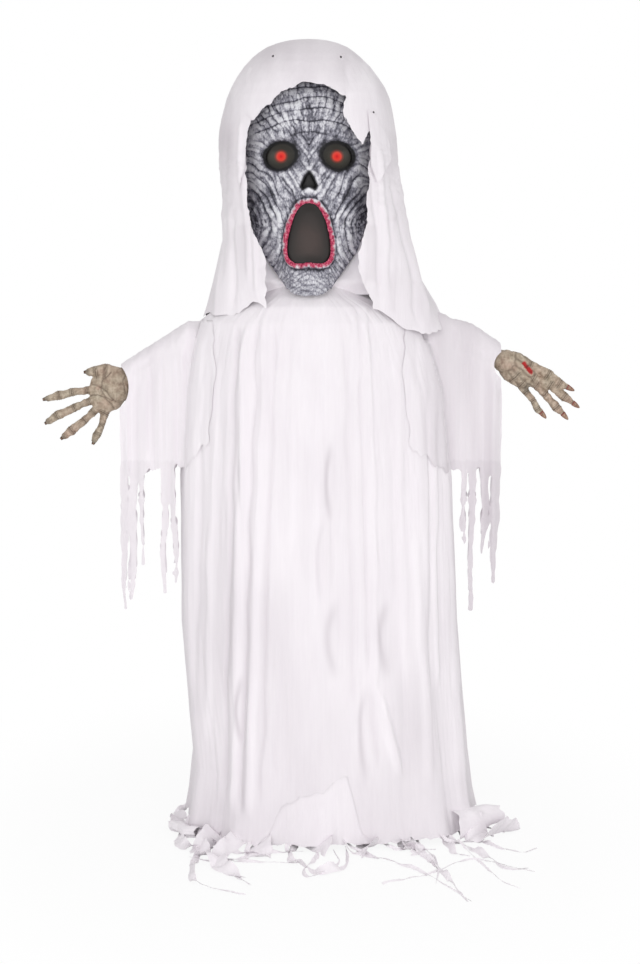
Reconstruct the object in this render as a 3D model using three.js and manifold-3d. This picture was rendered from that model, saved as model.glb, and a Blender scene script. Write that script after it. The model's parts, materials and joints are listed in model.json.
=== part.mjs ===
// A life-size ghost that stands on a pole: a hooded head with lit eyes, a long ragged robe and two
// posable arms with draped sleeves. Millimetres, +Z up. The origin is on the floor under the pole,
// the figure faces -Y, and right and left are the figure's own: its right arm points to -X.
import * as THREE from 'three';
import { mergeVertices } from 'three/addons/utils/BufferGeometryUtils.js';
import Module from 'manifold-3d';

const wasm = await Module();
wasm.setup();

// Driving dimensions
const seatGap = 0.35;
const clothWall = 2.5;

const baseRadius = 150;
const baseThickness = 6;
const socketFlangeRadius = 42;
const socketFlangeThickness = 5;
const socketHeight = 70;
const socketWall = 4;
const baseScrewCircle = 31;
const baseScrewRadius = 2.5;
const thumbScrewRadius = 3;

const poleRadius = 12.5;
const poleWall = 1.5;
const poleFit = 0.3;
const lowerPoleTop = 430;
const middlePoleTop = 780;
const couplerLength = 60;
const couplerWall = 3;

const shoulderZ = 1118;
const hubWidth = 60;
const hubDepth = 44;
const hubHeight = 60;
const barRadius = 8;
const pinX = 245;
const pinRadius = 4;
const pinFit = 0.25;
const forkRadius = 14;
const forkSlot = 13;
const forkCheek = 5;
const forkLength = 40;

const neckTubeTop = shoulderZ + 282;
const collarZ = neckTubeTop - 55;
const collarHeight = 10;
const collarRadius = 20;

const rodRadius = 5.5;
const rodStraight = 32;
const rodFit = 0.3;
const foamRadius = 28;
const rightWrist = { x: -422, z: shoulderZ - 92 };
const leftWrist = { x: 431, z: shoulderZ - 53 };
const wristBore = 12.4;
const wristPlugLength = 35;
const handLength = 205;

const skullFloorZ = neckTubeTop + 20;
const skullCentreZ = skullFloorZ + 180;
const skullCentreY = 15;
const skullHalfWidth = 176;
const skullHalfDepth = 150;
const skullHalfHeight = 192.5;
const skullWall = 6;
const skullFrontY = -60;
const skullBackY = 157;
const maskTopZ = skullCentreZ + 100;
const maskChinZ = skullFloorZ - 200;
const maskWall = 4;
const eyeX = 61;
const eyeZ = skullCentreZ - 76;
const ledRadius = 2.5;
const ledHolderRadius = 6;
const eyeBarThickness = 8;
const eyeBarHeight = 22;
const leadRadius = 1.3;

const boxWidth = 70;
const boxHeight = 84;
const boxDepth = 24;
const boxWall = 2;
const boxZ = skullCentreZ - 6;
const doorThickness = 2;
const cellRadius = 7.2;
const cellLength = 50.5;

const hoodTopZ = skullCentreZ + skullHalfHeight + clothWall - 1;
const hoodLength = 622;
const neckZ = shoulderZ + 118;
const robeDepthAtHem = 200;
const robeRightAtHem = 297;
const robeLeftAtHem = 385;
const armholeX = 240;
const armholeTop = shoulderZ + 40;
const armholeBottom = armholeTop - 213;
const sleeveHemZ = armholeBottom - 129;
const fringeHemZ = sleeveHemZ - 326;

// Materials
const paint = (color, roughness, metalness = 0) =>
  new THREE.MeshStandardMaterial({ color, roughness, metalness });
const whiteCloth = paint(0xe9e6ee, 0.9);
const innerCloth = paint(0xc9c6d0, 0.92);
const greyMask = paint(0x96969e, 0.7);
const handSkin = paint(0xa59682, 0.65);
const darkMesh = paint(0x2a2826, 0.8);
const redLens = paint(0xd01c18, 0.25);
const blackSteel = paint(0x222326, 0.5, 0.8);
const zincSteel = paint(0xb4b7bb, 0.35, 0.9);
const blackPlastic = paint(0x1d1d1f, 0.55);
const greyFoam = paint(0x6f7074, 0.95);
const whitePlastic = paint(0xd8d6d0, 0.6);
const cellLabel = paint(0x2f4a3a, 0.4, 0.3);
const leadRubber = paint(0x8c1a1a, 0.6);

const vec = (x, y, z) => new THREE.Vector3(x, y, z);
const mix = (a, b, t) => a + (b - a) * t;
const clamp01 = (t) => Math.min(1, Math.max(0, t));
const smooth = (t) => clamp01(t) ** 2 * (3 - 2 * clamp01(t));

// Reads a table of [z, value, value...] rows, from high to low z, at any z between them.
function tableAt(table, z, column) {
  for (let i = 0; i + 1 < table.length; i++) {
    const [upper, lower] = [table[i], table[i + 1]];
    if (z >= lower[0]) {
      const t = clamp01((upper[0] - z) / (upper[0] - lower[0]));
      return mix(upper[column], lower[column], t);
    }
  }
  return table[table.length - 1][column];
}

// Merges shared corners and turns all faces of a closed body outward.
function facingOut(source) {
  source.deleteAttribute('normal');
  source.deleteAttribute('uv');
  const geometry = mergeVertices(source, 1e-4);
  const p = geometry.attributes.position;
  const index = geometry.index.array;
  const kept = [];
  let volume = 0;
  const [a, b, c] = [vec(0, 0, 0), vec(0, 0, 0), vec(0, 0, 0)];
  for (let i = 0; i < index.length; i += 3) {
    const [ia, ib, ic] = [index[i], index[i + 1], index[i + 2]];
    if (ia === ib || ib === ic || ia === ic) continue;
    kept.push([ia, ib, ic]);
    a.fromBufferAttribute(p, ia);
    b.fromBufferAttribute(p, ib);
    c.fromBufferAttribute(p, ic);
    volume += a.dot(b.cross(c));
  }
  geometry.setIndex((volume < 0 ? kept.map(([x, y, z]) => [x, z, y]) : kept).flat());
  return geometry;
}

function closedBody(points, triangles) {
  const geometry = new THREE.BufferGeometry();
  const numbers = points.flatMap((point) => [point.x, point.y, point.z]);
  geometry.setAttribute('position', new THREE.Float32BufferAttribute(numbers, 3));
  geometry.setIndex(triangles.flat());
  return facingOut(geometry);
}

const toSolid = (geometry) =>
  new wasm.Manifold(
    new wasm.Mesh({
      numProp: 3,
      vertProperties: Float32Array.from(geometry.attributes.position.array),
      triVerts: Uint32Array.from(geometry.index.array),
    }),
  );

function fromSolid(solid) {
  const mesh = solid.getMesh();
  const geometry = new THREE.BufferGeometry();
  geometry.setAttribute('position', new THREE.BufferAttribute(new Float32Array(mesh.vertProperties), 3));
  geometry.setIndex(new THREE.BufferAttribute(new Uint32Array(mesh.triVerts), 1));
  return geometry;
}

const cut = (body, ...tools) =>
  fromSolid(tools.reduce((solid, tool) => solid.subtract(toSolid(tool)), toSolid(body)));
const join = (body, ...others) =>
  fromSolid(others.reduce((solid, other) => solid.add(toSolid(other)), toSolid(body)));
const common = (body, other) => fromSolid(toSolid(body).intersect(toSolid(other)));

// A body through a row of rings, each a loop of equally many points, closed at both ends.
function loft(rings) {
  const count = rings[0].length;
  const points = rings.flat();
  const triangles = [];
  for (let r = 0; r + 1 < rings.length; r++) {
    for (let c = 0; c < count; c++) {
      const a = r * count + c;
      const b = r * count + ((c + 1) % count);
      triangles.push([a, b, a + count], [b, b + count, a + count]);
    }
  }
  for (const last of [false, true]) {
    const ring = last ? rings[rings.length - 1] : rings[0];
    const start = last ? (rings.length - 1) * count : 0;
    const centre = ring.reduce((sum, point) => sum.clone().add(point), vec(0, 0, 0));
    points.push(centre.divideScalar(count));
    for (let c = 0; c < count; c++) {
      const [a, b] = [start + c, start + ((c + 1) % count)];
      triangles.push(last ? [a, b, points.length - 1] : [b, a, points.length - 1]);
    }
  }
  return closedBody(points, triangles);
}

// The points of a grid moved back from its outer side by a distance, along the grid's own normals.
function movedIn(grid, distance) {
  return grid.map((row, i) =>
    row.map((point, j) => {
      const along = row[Math.min(j + 1, row.length - 1)].clone().sub(row[Math.max(j - 1, 0)]);
      const down = grid[Math.min(i + 1, grid.length - 1)][j]
        .clone()
        .sub(grid[Math.max(i - 1, 0)][j]);
      return point.clone().addScaledVector(along.cross(down).normalize(), distance);
    }),
  );
}

// A closed body between an outer and an inner grid of points.
function shellBetween(outer, inner) {
  const [rows, columns] = [outer.length, outer[0].length];
  const points = [...outer.flat(), ...inner.flat()];
  const shift = rows * columns;
  const triangles = [];
  const quad = (a, b, c, d) => triangles.push([a, b, c], [a, c, d]);
  for (let i = 0; i + 1 < rows; i++) {
    for (let j = 0; j + 1 < columns; j++) {
      const a = i * columns + j;
      quad(a, a + 1, a + columns + 1, a + columns);
      quad(shift + a, shift + a + columns, shift + a + columns + 1, shift + a + 1);
    }
  }
  const border = [];
  for (let j = 0; j < columns; j++) border.push(j);
  for (let i = 1; i < rows; i++) border.push(i * columns + columns - 1);
  for (let j = columns - 2; j >= 0; j--) border.push((rows - 1) * columns + j);
  for (let i = rows - 2; i > 0; i--) border.push(i * columns);
  border.forEach((a, k) => {
    const b = border[(k + 1) % border.length];
    quad(b, a, shift + a, shift + b);
  });
  return closedBody(points, triangles);
}

// A body turned about +Z from a closed profile of [radius, z] corners.
function turned(profile, sides = 16) {
  const outline = profile.map(([radius, z]) => new THREE.Vector2(radius, z));
  const onAxis = profile[0][0] === 0 && profile[profile.length - 1][0] === 0;
  if (!onAxis) outline.push(outline[0].clone());
  const geometry = new THREE.LatheGeometry(outline, sides);
  geometry.rotateX(Math.PI / 2);
  return facingOut(geometry);
}

const rod = (radius, from, to, sides = 16) =>
  turned([[0, from], [radius, from], [radius, to], [0, to]], sides);
const tube = (outer, bore, from, to, sides = 16) =>
  turned([[bore, from], [outer, from], [outer, to], [bore, to]], sides);

function block(width, depth, height, x = 0, y = 0, z = 0) {
  const geometry = new THREE.BoxGeometry(width, depth, height);
  geometry.translate(x, y, z);
  return facingOut(geometry);
}

// Moves a body made along +Z so that its origin is at a point and its +Z is along a direction.
function aimed(geometry, origin, direction) {
  const turn = new THREE.Quaternion().setFromUnitVectors(vec(0, 0, 1), direction.clone().normalize());
  const placed = geometry.clone().applyQuaternion(turn);
  placed.translate(origin.x, origin.y, origin.z);
  return placed;
}

// A prism along Y over an outline of [x, z] corners.
function prismAlongY(outline, fromY, toY) {
  const ringAt = (y) => outline.map(([x, z]) => vec(x, y, z));
  return closedOutline(ringAt(fromY), ringAt(toY));
}

// A prism between two equal outlines, with flat ends that may be hollow in outline.
function closedOutline(near, far) {
  const flat = near.map((point) => new THREE.Vector2(point.x, point.z));
  const faces = THREE.ShapeUtils.triangulateShape(flat, []);
  const count = near.length;
  const triangles = [];
  for (const [a, b, c] of faces) {
    triangles.push([a, b, c], [count + a, count + c, count + b]);
  }
  const clockwise = THREE.ShapeUtils.isClockWise(flat);
  for (let i = 0; i < count; i++) {
    const j = (i + 1) % count;
    if (clockwise) triangles.push([i, j, count + j], [i, count + j, count + i]);
    else triangles.push([j, i, count + i], [j, count + i, count + j]);
  }
  return closedBody([...near, ...far], triangles);
}

function strand(points, radius, sides = 8, steps = 20) {
  const path = new THREE.CatmullRomCurve3(points);
  const section = new THREE.Shape(
    Array.from({ length: sides }, (_, i) => {
      const angle = (2 * Math.PI * i) / sides;
      return new THREE.Vector2(radius * Math.cos(angle), radius * Math.sin(angle));
    }),
  );
  const options = { steps, bevelEnabled: false, extrudePath: path };
  return facingOut(new THREE.ExtrudeGeometry(section, options));
}

const figure = new THREE.Group();
const stand = new THREE.Group();
const head = new THREE.Group();
const rightArm = new THREE.Group();
const leftArm = new THREE.Group();
const clothes = new THREE.Group();
figure.add(stand, head, rightArm, leftArm, clothes);

function piece(group, name, geometry, material, x = 0, y = 0, z = 0) {
  const mesh = new THREE.Mesh(geometry, material);
  mesh.name = name;
  mesh.position.set(x, y, z);
  group.add(mesh);
  return mesh;
}

// Stand: base, pole and shoulders
const poleBore = poleRadius + poleFit;
const screwBite = 4;
const flangeBottom = baseThickness + seatGap;
const flangeTop = flangeBottom + socketFlangeThickness;
const screwPlaces = [0, 1, 2].map((i) => {
  const angle = (2 * Math.PI * i) / 3 + Math.PI / 6;
  return [baseScrewCircle * Math.cos(angle), baseScrewCircle * Math.sin(angle)];
});
const screwHoles = (from, to) =>
  screwPlaces.map(([x, y]) => {
    const hole = rod(baseScrewRadius + 0.3, from, to, 12);
    hole.translate(x, y, 0);
    return hole;
  });

const plate = turned(
  [[0, 0], [baseRadius, 0], [baseRadius, baseThickness - 2], [baseRadius - 3, baseThickness], [0, baseThickness]],
  36,
);
piece(stand, 'base_plate', cut(plate, ...screwHoles(baseThickness - screwBite, baseThickness + 1)), blackSteel);

const socketBody = turned(
  [
    [poleBore, flangeBottom],
    [socketFlangeRadius, flangeBottom],
    [socketFlangeRadius, flangeTop],
    [poleBore + socketWall + 3, flangeTop],
    [poleBore + socketWall, flangeTop + 6],
    [poleBore + socketWall, flangeBottom + socketHeight],
    [poleBore, flangeBottom + socketHeight],
  ],
);
const thumbZ = flangeBottom + socketHeight - 16;
const thumbHole = aimed(rod(thumbScrewRadius + 0.25, 5, 60, 12), vec(0, 0, thumbZ), vec(0, 1, 0));
piece(
  stand,
  'base_socket',
  cut(socketBody, thumbHole, ...screwHoles(flangeBottom - 1, flangeTop + 1)),
  blackPlastic,
);
const screwProfile = [
  [0, baseThickness - screwBite + 0.3],
  [baseScrewRadius, baseThickness - screwBite + 0.3],
  [baseScrewRadius, flangeTop + seatGap],
  [baseScrewRadius + 2.5, flangeTop + seatGap],
  [baseScrewRadius + 1.6, flangeTop + seatGap + 2.4],
  [0, flangeTop + seatGap + 2.4],
];
screwPlaces.forEach(([x, y], i) => {
  piece(stand, `base_screw_${i + 1}`, turned(screwProfile, 12), zincSteel, x, y, 0);
});

// A thumb screw along +Z whose tip is at its origin.
const thumbScrew = (length) =>
  turned(
    [[0, 0], [thumbScrewRadius, 0], [thumbScrewRadius, length], [9, length + 0.01], [9, length + 9], [0, length + 9]],
    12,
  );
const thumbTipY = poleRadius + 0.3;
piece(
  stand,
  'base_thumb_screw',
  aimed(thumbScrew(socketWall + 2.5), vec(0, thumbTipY, thumbZ), vec(0, 1, 0)),
  blackPlastic,
);

const poleEnds = [
  ['pole_lower', baseThickness + seatGap, lowerPoleTop],
  ['pole_middle', lowerPoleTop + seatGap, middlePoleTop],
  ['pole_upper', middlePoleTop + seatGap, shoulderZ - seatGap / 2],
];
for (const [name, from, to] of poleEnds) {
  piece(stand, name, tube(poleRadius, poleRadius - poleWall, from, to), zincSteel);
}
const neckBore = poleRadius - poleWall;
const neckTube = turned([
  [neckBore, shoulderZ + seatGap / 2],
  [poleRadius, shoulderZ + seatGap / 2],
  [poleRadius, collarZ],
  [collarRadius, collarZ],
  [collarRadius, collarZ + collarHeight],
  [poleRadius, collarZ + collarHeight],
  [poleRadius, neckTubeTop],
  [neckBore, neckTubeTop],
]);
piece(stand, 'neck_tube', neckTube, zincSteel);
const coupler = tube(poleBore + couplerWall, poleBore, -couplerLength / 2, couplerLength / 2);
piece(stand, 'pole_coupler_lower', coupler, blackPlastic, 0, 0, lowerPoleTop);
piece(stand, 'pole_coupler_upper', coupler.clone(), blackPlastic, 0, 0, middlePoleTop);

const barInnerX = poleBore + 3;
const barOuterX = pinX - forkRadius - 11;
const barFit = 0.3;
const hubBores = [-1, 1].map((side) =>
  aimed(rod(barRadius + barFit, barInnerX - 0.3, hubWidth), vec(0, 0, shoulderZ), vec(side, 0, 0)),
);
piece(
  stand,
  'shoulder_hub',
  cut(
    block(hubWidth, hubDepth, hubHeight, 0, 0, shoulderZ),
    rod(poleBore, shoulderZ - hubHeight, shoulderZ + hubHeight),
    ...hubBores,
  ),
  blackPlastic,
);

const forkInnerX = pinX - forkLength;
const forkHalf = forkSlot / 2 + forkCheek;
for (const [side, sideName] of [[-1, 'right'], [1, 'left']]) {
  const bar = aimed(rod(barRadius, barInnerX, barOuterX), vec(0, 0, shoulderZ), vec(side, 0, 0));
  piece(stand, `shoulder_bar_${sideName}`, bar, zincSteel);
  const at = (geometry) => {
    geometry.translate(side * pinX, 0, shoulderZ);
    return geometry;
  };
  const cheeks = at(rod(forkRadius, -forkHalf, forkHalf));
  const slot = at(rod(forkRadius + 3, -forkSlot / 2, forkSlot / 2));
  const pinHole = at(rod(pinRadius + pinFit, -40, 40, 16));
  const bodyX = side * (forkInnerX + forkLength / 2);
  const barHole = aimed(
    rod(barRadius + barFit, forkInnerX - 5, barOuterX + 0.5),
    vec(0, 0, shoulderZ),
    vec(side, 0, 0),
  );
  const fork = cut(
    join(block(forkLength, forkRadius * 1.8, 2 * forkHalf, bodyX, 0, shoulderZ), cheeks),
    slot,
    pinHole,
    barHole,
  );
  piece(stand, `shoulder_fork_${sideName}`, fork, blackPlastic);
  const pin = turned(
    [
      [0, -forkHalf - 1],
      [pinRadius, -forkHalf - 1],
      [pinRadius, forkHalf + seatGap],
      [pinRadius + 2.5, forkHalf + seatGap],
      [pinRadius + 1.5, forkHalf + 3.2],
      [0, forkHalf + 3.2],
    ],
    16,
  );
  piece(stand, `shoulder_pin_${sideName}`, pin, zincSteel, side * pinX, 0, shoulderZ);
}

// Robe: half-widths and half-depth at each height, with folds that grow towards the hem
const robeTable = [
  [neckZ, 95, 95, 85],
  [neckZ - 22, 148, 148, 98],
  [neckZ - 42, 203, 203, 110],
  [armholeTop, 248, 252, 130],
  [armholeTop - 48, 262, 276, 140],
  [armholeTop - 158, 280, 308, 152],
  [armholeTop * 0.69, 290, 326, 162],
  [armholeTop * 0.52, 290, 333, 168],
  [armholeTop * 0.39, 288, 338, 172],
  [armholeTop * 0.26, 281, 348, 180],
  [armholeTop * 0.13, 272, 360, 188],
  [armholeTop * 0.05, 285, 372, 194],
  [0, robeRightAtHem, robeLeftAtHem, robeDepthAtHem],
];
// Each fold: its direction from the front in degrees, its width, and its depth high up and at the hem.
const robeFolds = [
  [-64, 9, 8, 22],
  [-25, 9, 10, 18],
  [-2, 8, 3, 15],
  [24, 7, 8, 16],
  [45, 7, 4, 18],
  [66, 8, 10, 20],
  [104, 9, 6, 20],
  [130, 9, 8, 24],
  [156, 9, 8, 22],
  [180, 9, 8, 24],
  [-154, 9, 8, 22],
  [-128, 9, 8, 24],
  [-102, 9, 6, 20],
];
const degrees = Math.PI / 180;

function foldDepth(folds, angle, growth) {
  return folds.reduce((sum, [centre, width, upper, lower]) => {
    const away = Math.abs(((angle / degrees - centre + 540) % 360) - 180);
    return sum + mix(upper, lower, growth) * Math.exp(-((away / width) ** 2));
  }, 0);
}

// A point of a rounded box outline: the angle is counted from the front towards +X.
function outlinePoint(angle, halfWidth, halfDepth, z, fold, power) {
  const [s, c] = [Math.sin(angle), Math.cos(angle)];
  const x = halfWidth * Math.sign(s) * Math.abs(s) ** (2 / power);
  const y = -halfDepth * Math.sign(c) * Math.abs(c) ** (2 / power);
  const grow = 1 + fold / Math.hypot(x, y);
  return vec(x * grow, y * grow, z);
}

function robePoint(angle, z, inward) {
  const halfWidth = tableAt(robeTable, z, Math.sin(angle) < 0 ? 1 : 2);
  const halfDepth = tableAt(robeTable, z, 3);
  const growth = clamp01((armholeTop - z) / armholeTop);
  const fade = smooth((armholeTop + 30 - z) / 120);
  const fold = fade * foldDepth(robeFolds, angle, growth);
  return outlinePoint(angle, halfWidth - inward, halfDepth - inward, z, fold, 2.3);
}

// Columns run down each crest and each valley, with two more beside the crests of the front.
const foldColumns = robeFolds.flatMap(([centre], i) => {
  const next = robeFolds[(i + 1) % robeFolds.length][0];
  const valley = centre + (((next - centre + 360) % 360) / 2);
  const beside = Math.abs(centre) < 50 ? [centre - 5, centre + 5] : [];
  return [centre, ...beside, valley > 180 ? valley - 360 : valley];
});
const robeAngles = foldColumns.sort((a, b) => a - b).map((angle) => angle * degrees);
const robeShares = [0, 0.05, 0.15, 0.28, 0.41, 0.55, 0.69, 0.81, 0.9, 0.96, 1];
const robeLevels = [...robeShares.map((share) => share * armholeTop), neckZ - 42, neckZ - 22, neckZ];
function robeBody(inward, levels) {
  return loft(levels.map(([z, at]) => robeAngles.map((angle) => {
    const point = robePoint(angle, at, inward);
    point.z = z;
    return point;
  })));
}
const plainLevels = robeLevels.map((z) => [z, z]);
const robeOuter = robeBody(0, plainLevels);
const robeInner = robeBody(clothWall, [[-40, 0], ...plainLevels, [neckZ + 40, neckZ]]);
const armholes = [-1, 1].map((side) =>
  block(400, 600, armholeTop - armholeBottom, side * (armholeX + 200), 0, (armholeTop + armholeBottom) / 2),
);
const robeShell = cut(robeOuter, robeInner, ...armholes);
const far = 2000;

// The lens-shaped slits of the front panel: centre x, bottom z, top z, width.
const robeSlits = [
  [47, 608, 860, 16],
  [-158, 735, 915, 12],
  [55, 335, 490, 12],
  [198, 310, 495, 14],
  [-150, 180, 310, 12],
];
const slitTools = robeSlits.map(([x, low, high, width]) => {
  const steps = 5;
  const outline = [];
  for (let i = 0; i <= steps; i++) {
    outline.push([x + (width / 2) * Math.sin((Math.PI * i) / steps), mix(low, high, i / steps)]);
  }
  for (let i = steps - 1; i > 0; i--) {
    outline.push([x - (width / 2) * Math.sin((Math.PI * i) / steps), mix(low, high, i / steps)]);
  }
  return prismAlongY(outline, -far, 0);
});
const frontHalf = block(far, far, 2 * far, 0, -far / 2 - seatGap / 2, 0);
const backHalf = block(far, far, 2 * far, 0, far / 2 + seatGap / 2, 0);
piece(clothes, 'robe_front', cut(common(robeShell, frontHalf), ...slitTools), whiteCloth);
piece(clothes, 'robe_back', common(robeShell, backHalf), whiteCloth);

// The inner layer hangs close behind the front panel from the chest down.
const liningTop = armholeBottom - 15;
const liningHalfWidth = 205;
const liningGap = clothWall + seatGap + 0.4;
const liningLevels = [...plainLevels.filter(([z]) => z < liningTop - 20), [liningTop, liningTop]];
const liningOuter = robeBody(liningGap, liningLevels);
const liningInner = robeBody(liningGap + 2, [[-40, 0], ...liningLevels, [liningTop + 40, liningTop]]);
const liningFront = block(2 * liningHalfWidth, far, 2 * far, 20, -far / 2 - 90, 0);
piece(
  clothes,
  'robe_lining_front',
  common(cut(liningOuter, liningInner), liningFront),
  innerCloth,
);

// Shoulder former: a hanger that fills the robe's shoulders and sits on the hub
const formerDepth = 36;
const formerBand = 34;
const formerSeat = shoulderZ + hubHeight / 2 + seatGap;
const [, , [slopeZ, slopeHalf], [, tipHalf]] = robeTable;
const formerHalf = [
  [0, formerSeat],
  [28, formerSeat],
  [40, armholeTop + 8],
  [slopeHalf - 10, slopeZ - formerBand - 12],
  [tipHalf - 12, armholeTop - 4],
  [tipHalf + 30, armholeTop],
  [tipHalf, neckZ],
  [0, neckZ - 10],
];
const formerOutline = [
  ...formerHalf,
  ...formerHalf.slice(1, -1).reverse().map(([x, z]) => [-x, z]),
];
const robeRoom = robeBody(clothWall + 0.5, plainLevels);
const former = cut(
  common(prismAlongY(formerOutline, -formerDepth / 2, formerDepth / 2), robeRoom),
  rod(poleBore, formerSeat - 20, neckZ + 20),
);
piece(stand, 'shoulder_former', former, whitePlastic);

// Torn hem ends on the floor: flat ribbons that start at the robe and run outward
const robeKeepOut = robeBody(-0.5, [[-40, 0], [0, 0], [60, 60], [160, 160]]);
function floorRibbon(points, width, height, twist) {
  const path = new THREE.CatmullRomCurve3(points.map(([x, y]) => vec(x, y, 0)));
  const steps = Math.max(8, Math.round(path.getLength() / 28));
  const rings = [];
  for (let i = 0; i <= steps; i++) {
    const t = i / steps;
    const centre = path.getPoint(t);
    const along = path.getTangent(t);
    const across = vec(-along.y, along.x, 0).normalize();
    const wave = 0.5 + 0.5 * Math.sin(twist * t * 2 * Math.PI);
    const taper = 1 - 0.75 * smooth((t - 0.6) / 0.4);
    const half = (width / 2) * taper * (0.75 + 0.25 * wave);
    const tall = Math.max(5, height * taper * (0.55 + 0.45 * (1 - wave)));
    rings.push(
      [[-1, 0], [-0.75, 0.7], [-0.2, 1], [0.35, 0.85], [0.85, 0.6], [1, 0]].map(([u, v]) =>
        centre.clone().addScaledVector(across, u * half).setZ(v * tall),
      ),
    );
  }
  return cut(loft(rings), robeKeepOut);
}
const ribbons = [
  ['hem_strip_right_side', [[-258, -112], [-304, -88], [-332, -30], [-345, 40]], 56, 34, 1.3],
  ['hem_strip_right_front', [[-215, -120], [-240, -200], [-190, -290], [-120, -390]], 52, 30, 1.6],
  ['hem_loop_front', [[-30, -180], [-40, -260], [20, -320], [75, -290], [85, -230], [80, -180]], 34, 24, 2.1],
  ['hem_pile_left', [[330, -40], [372, -120], [420, -150], [456, -90], [440, -20], [400, 0]], 74, 66, 1.2],
  ['hem_tail_left_upper', [[300, -130], [370, -215], [420, -300], [470, -300]], 26, 15, 2.2],
  ['hem_tail_left_lower', [[210, -150], [262, -260], [300, -380], [322, -465]], 22, 14, 2.4],
];
for (const [name, points, width, height, twist] of ribbons) {
  piece(clothes, name, floorRibbon(points, width, height, twist), whiteCloth);
}

// Arms
const handGap = 0.4;
const fingerTables = {
  right: {
    palm: [[0, 0, 24.5, 20], [30, 2, 28, 20], [62, 0, 37, 18], [92, -4, 38, 15]],
    fingers: [
      [[88, 27], [128, 40], [166, 48], [192, 52], 9.5],
      [[90, 6], [134, 8], [172, 2], [200, -8], 10],
      [[86, -14], [124, -24], [158, -38], [180, -52], 9.5],
      [[72, -30], [96, -52], [112, -70], [122, -88], 8],
      [[24, 20], [54, 42], [84, 58], [104, 66], 11],
    ],
    curl: [0.05, 0.05, 0.1, 0.14, 0.1],
  },
  left: {
    palm: [[0, 0, 25, 20], [30, 0, 27, 21], [62, -6, 33, 20], [88, -16, 33, 17]],
    fingers: [
      [[84, 8], [122, 2], [158, -8], [184, -16], 9.5],
      [[86, -8], [126, -22], [164, -42], [186, -60], 10],
      [[82, -24], [114, -48], [142, -72], [158, -92], 9.5],
      [[70, -36], [88, -62], [102, -86], [110, -106], 8],
      [[26, 18], [56, 32], [88, 34], [112, 26], 11],
    ],
    curl: [0.12, 0.16, 0.2, 0.22, 0.35],
  },
};

function arm(group, side, sideName, wrist) {
  const bend = vec(side * (pinX + rodStraight), 0, shoulderZ);
  const wristPoint = vec(wrist.x, 0, wrist.z);
  const along = wristPoint.clone().sub(bend).normalize();
  const length = wristPoint.distanceTo(bend);
  const faceAt = length - 18;
  const at = (distance) => bend.clone().addScaledVector(along, distance);

  const rodEnd = length + 8;
  const eye = tube(forkRadius - 3, pinRadius + pinFit, -forkSlot / 2 + 0.4, forkSlot / 2 - 0.4);
  eye.translate(side * pinX, 0, shoulderZ);
  const rodPath = [
    vec(side * (pinX + 8), 0, shoulderZ),
    vec(side * (pinX + rodStraight - 8), 0, shoulderZ),
  ];
  const horizontal = strand(rodPath, rodRadius, 12, 1);
  const elbow = strand(
    [vec(side * (pinX + rodStraight - 10), 0, shoulderZ), at(-0.5), at(8)],
    rodRadius - 0.05,
    12,
    4,
  );
  const slanted = aimed(rod(rodRadius, 4, rodEnd, 12), bend, along);
  piece(group, `arm_rod_${sideName}`, join(eye, horizontal, elbow, slanted), zincSteel);

  const foam = aimed(tube(foamRadius, rodRadius + rodFit, 14, faceAt - handGap, 16), bend, along);
  piece(group, `arm_foam_${sideName}`, foam, greyFoam);

  const plugStart = faceAt + 0.3;
  const plug = cut(
    aimed(rod(wristBore - 0.4, plugStart, plugStart + wristPlugLength, 24), bend, along),
    aimed(rod(rodRadius + rodFit, plugStart - 5, rodEnd + 0.4, 12), bend, along),
  );
  piece(group, `wrist_plug_${sideName}`, plug, blackPlastic);

  const up = vec(0, 0, 1).addScaledVector(along, -along.z).normalize();
  const front = vec(0, -1, 0);
  const table = fingerTables[sideName];
  const scale = handLength / 190;
  const local = (forward, high, deep) =>
    at(faceAt)
      .addScaledVector(along, forward * scale)
      .addScaledVector(up, high * scale)
      .addScaledVector(front, deep * scale);
  const palm = loft(
    table.palm.map(([forward, high, tall, thick]) =>
      Array.from({ length: 10 }, (_, i) => {
        const angle = (2 * Math.PI * i) / 10;
        return local(forward, high + tall * Math.cos(angle), thick * Math.sin(angle));
      }),
    ),
  );
  const fingers = table.fingers.map((finger, k) => {
    const radius = finger[4];
    const joints = finger.slice(0, 4);
    const rings = joints.map(([forward, high], i) => {
      const [before, after] = [joints[Math.max(0, i - 1)], joints[Math.min(3, i + 1)]];
      const run = Math.hypot(after[0] - before[0], after[1] - before[1]);
      const [fx, fz] = [(after[0] - before[0]) / run, (after[1] - before[1]) / run];
      const width = radius * [1.08, 1, 0.86, 0.45][i];
      const deep = table.curl[k] * 40 * (i / 3) ** 1.5;
      return Array.from({ length: 7 }, (_, n) => {
        const angle = (2 * Math.PI * n) / 7;
        const sideways = width * Math.cos(angle);
        return local(forward - fz * sideways, high + fx * sideways, deep + width * 0.92 * Math.sin(angle));
      });
    });
    return loft(rings);
  });
  const bore = aimed(rod(wristBore, faceAt - 10, plugStart + wristPlugLength + 0.5, 24), bend, along);
  piece(group, `hand_${sideName}`, cut(join(palm, ...fingers), bore), handSkin);

  sleeve(side, sideName, bend, along, length);
}

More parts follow.
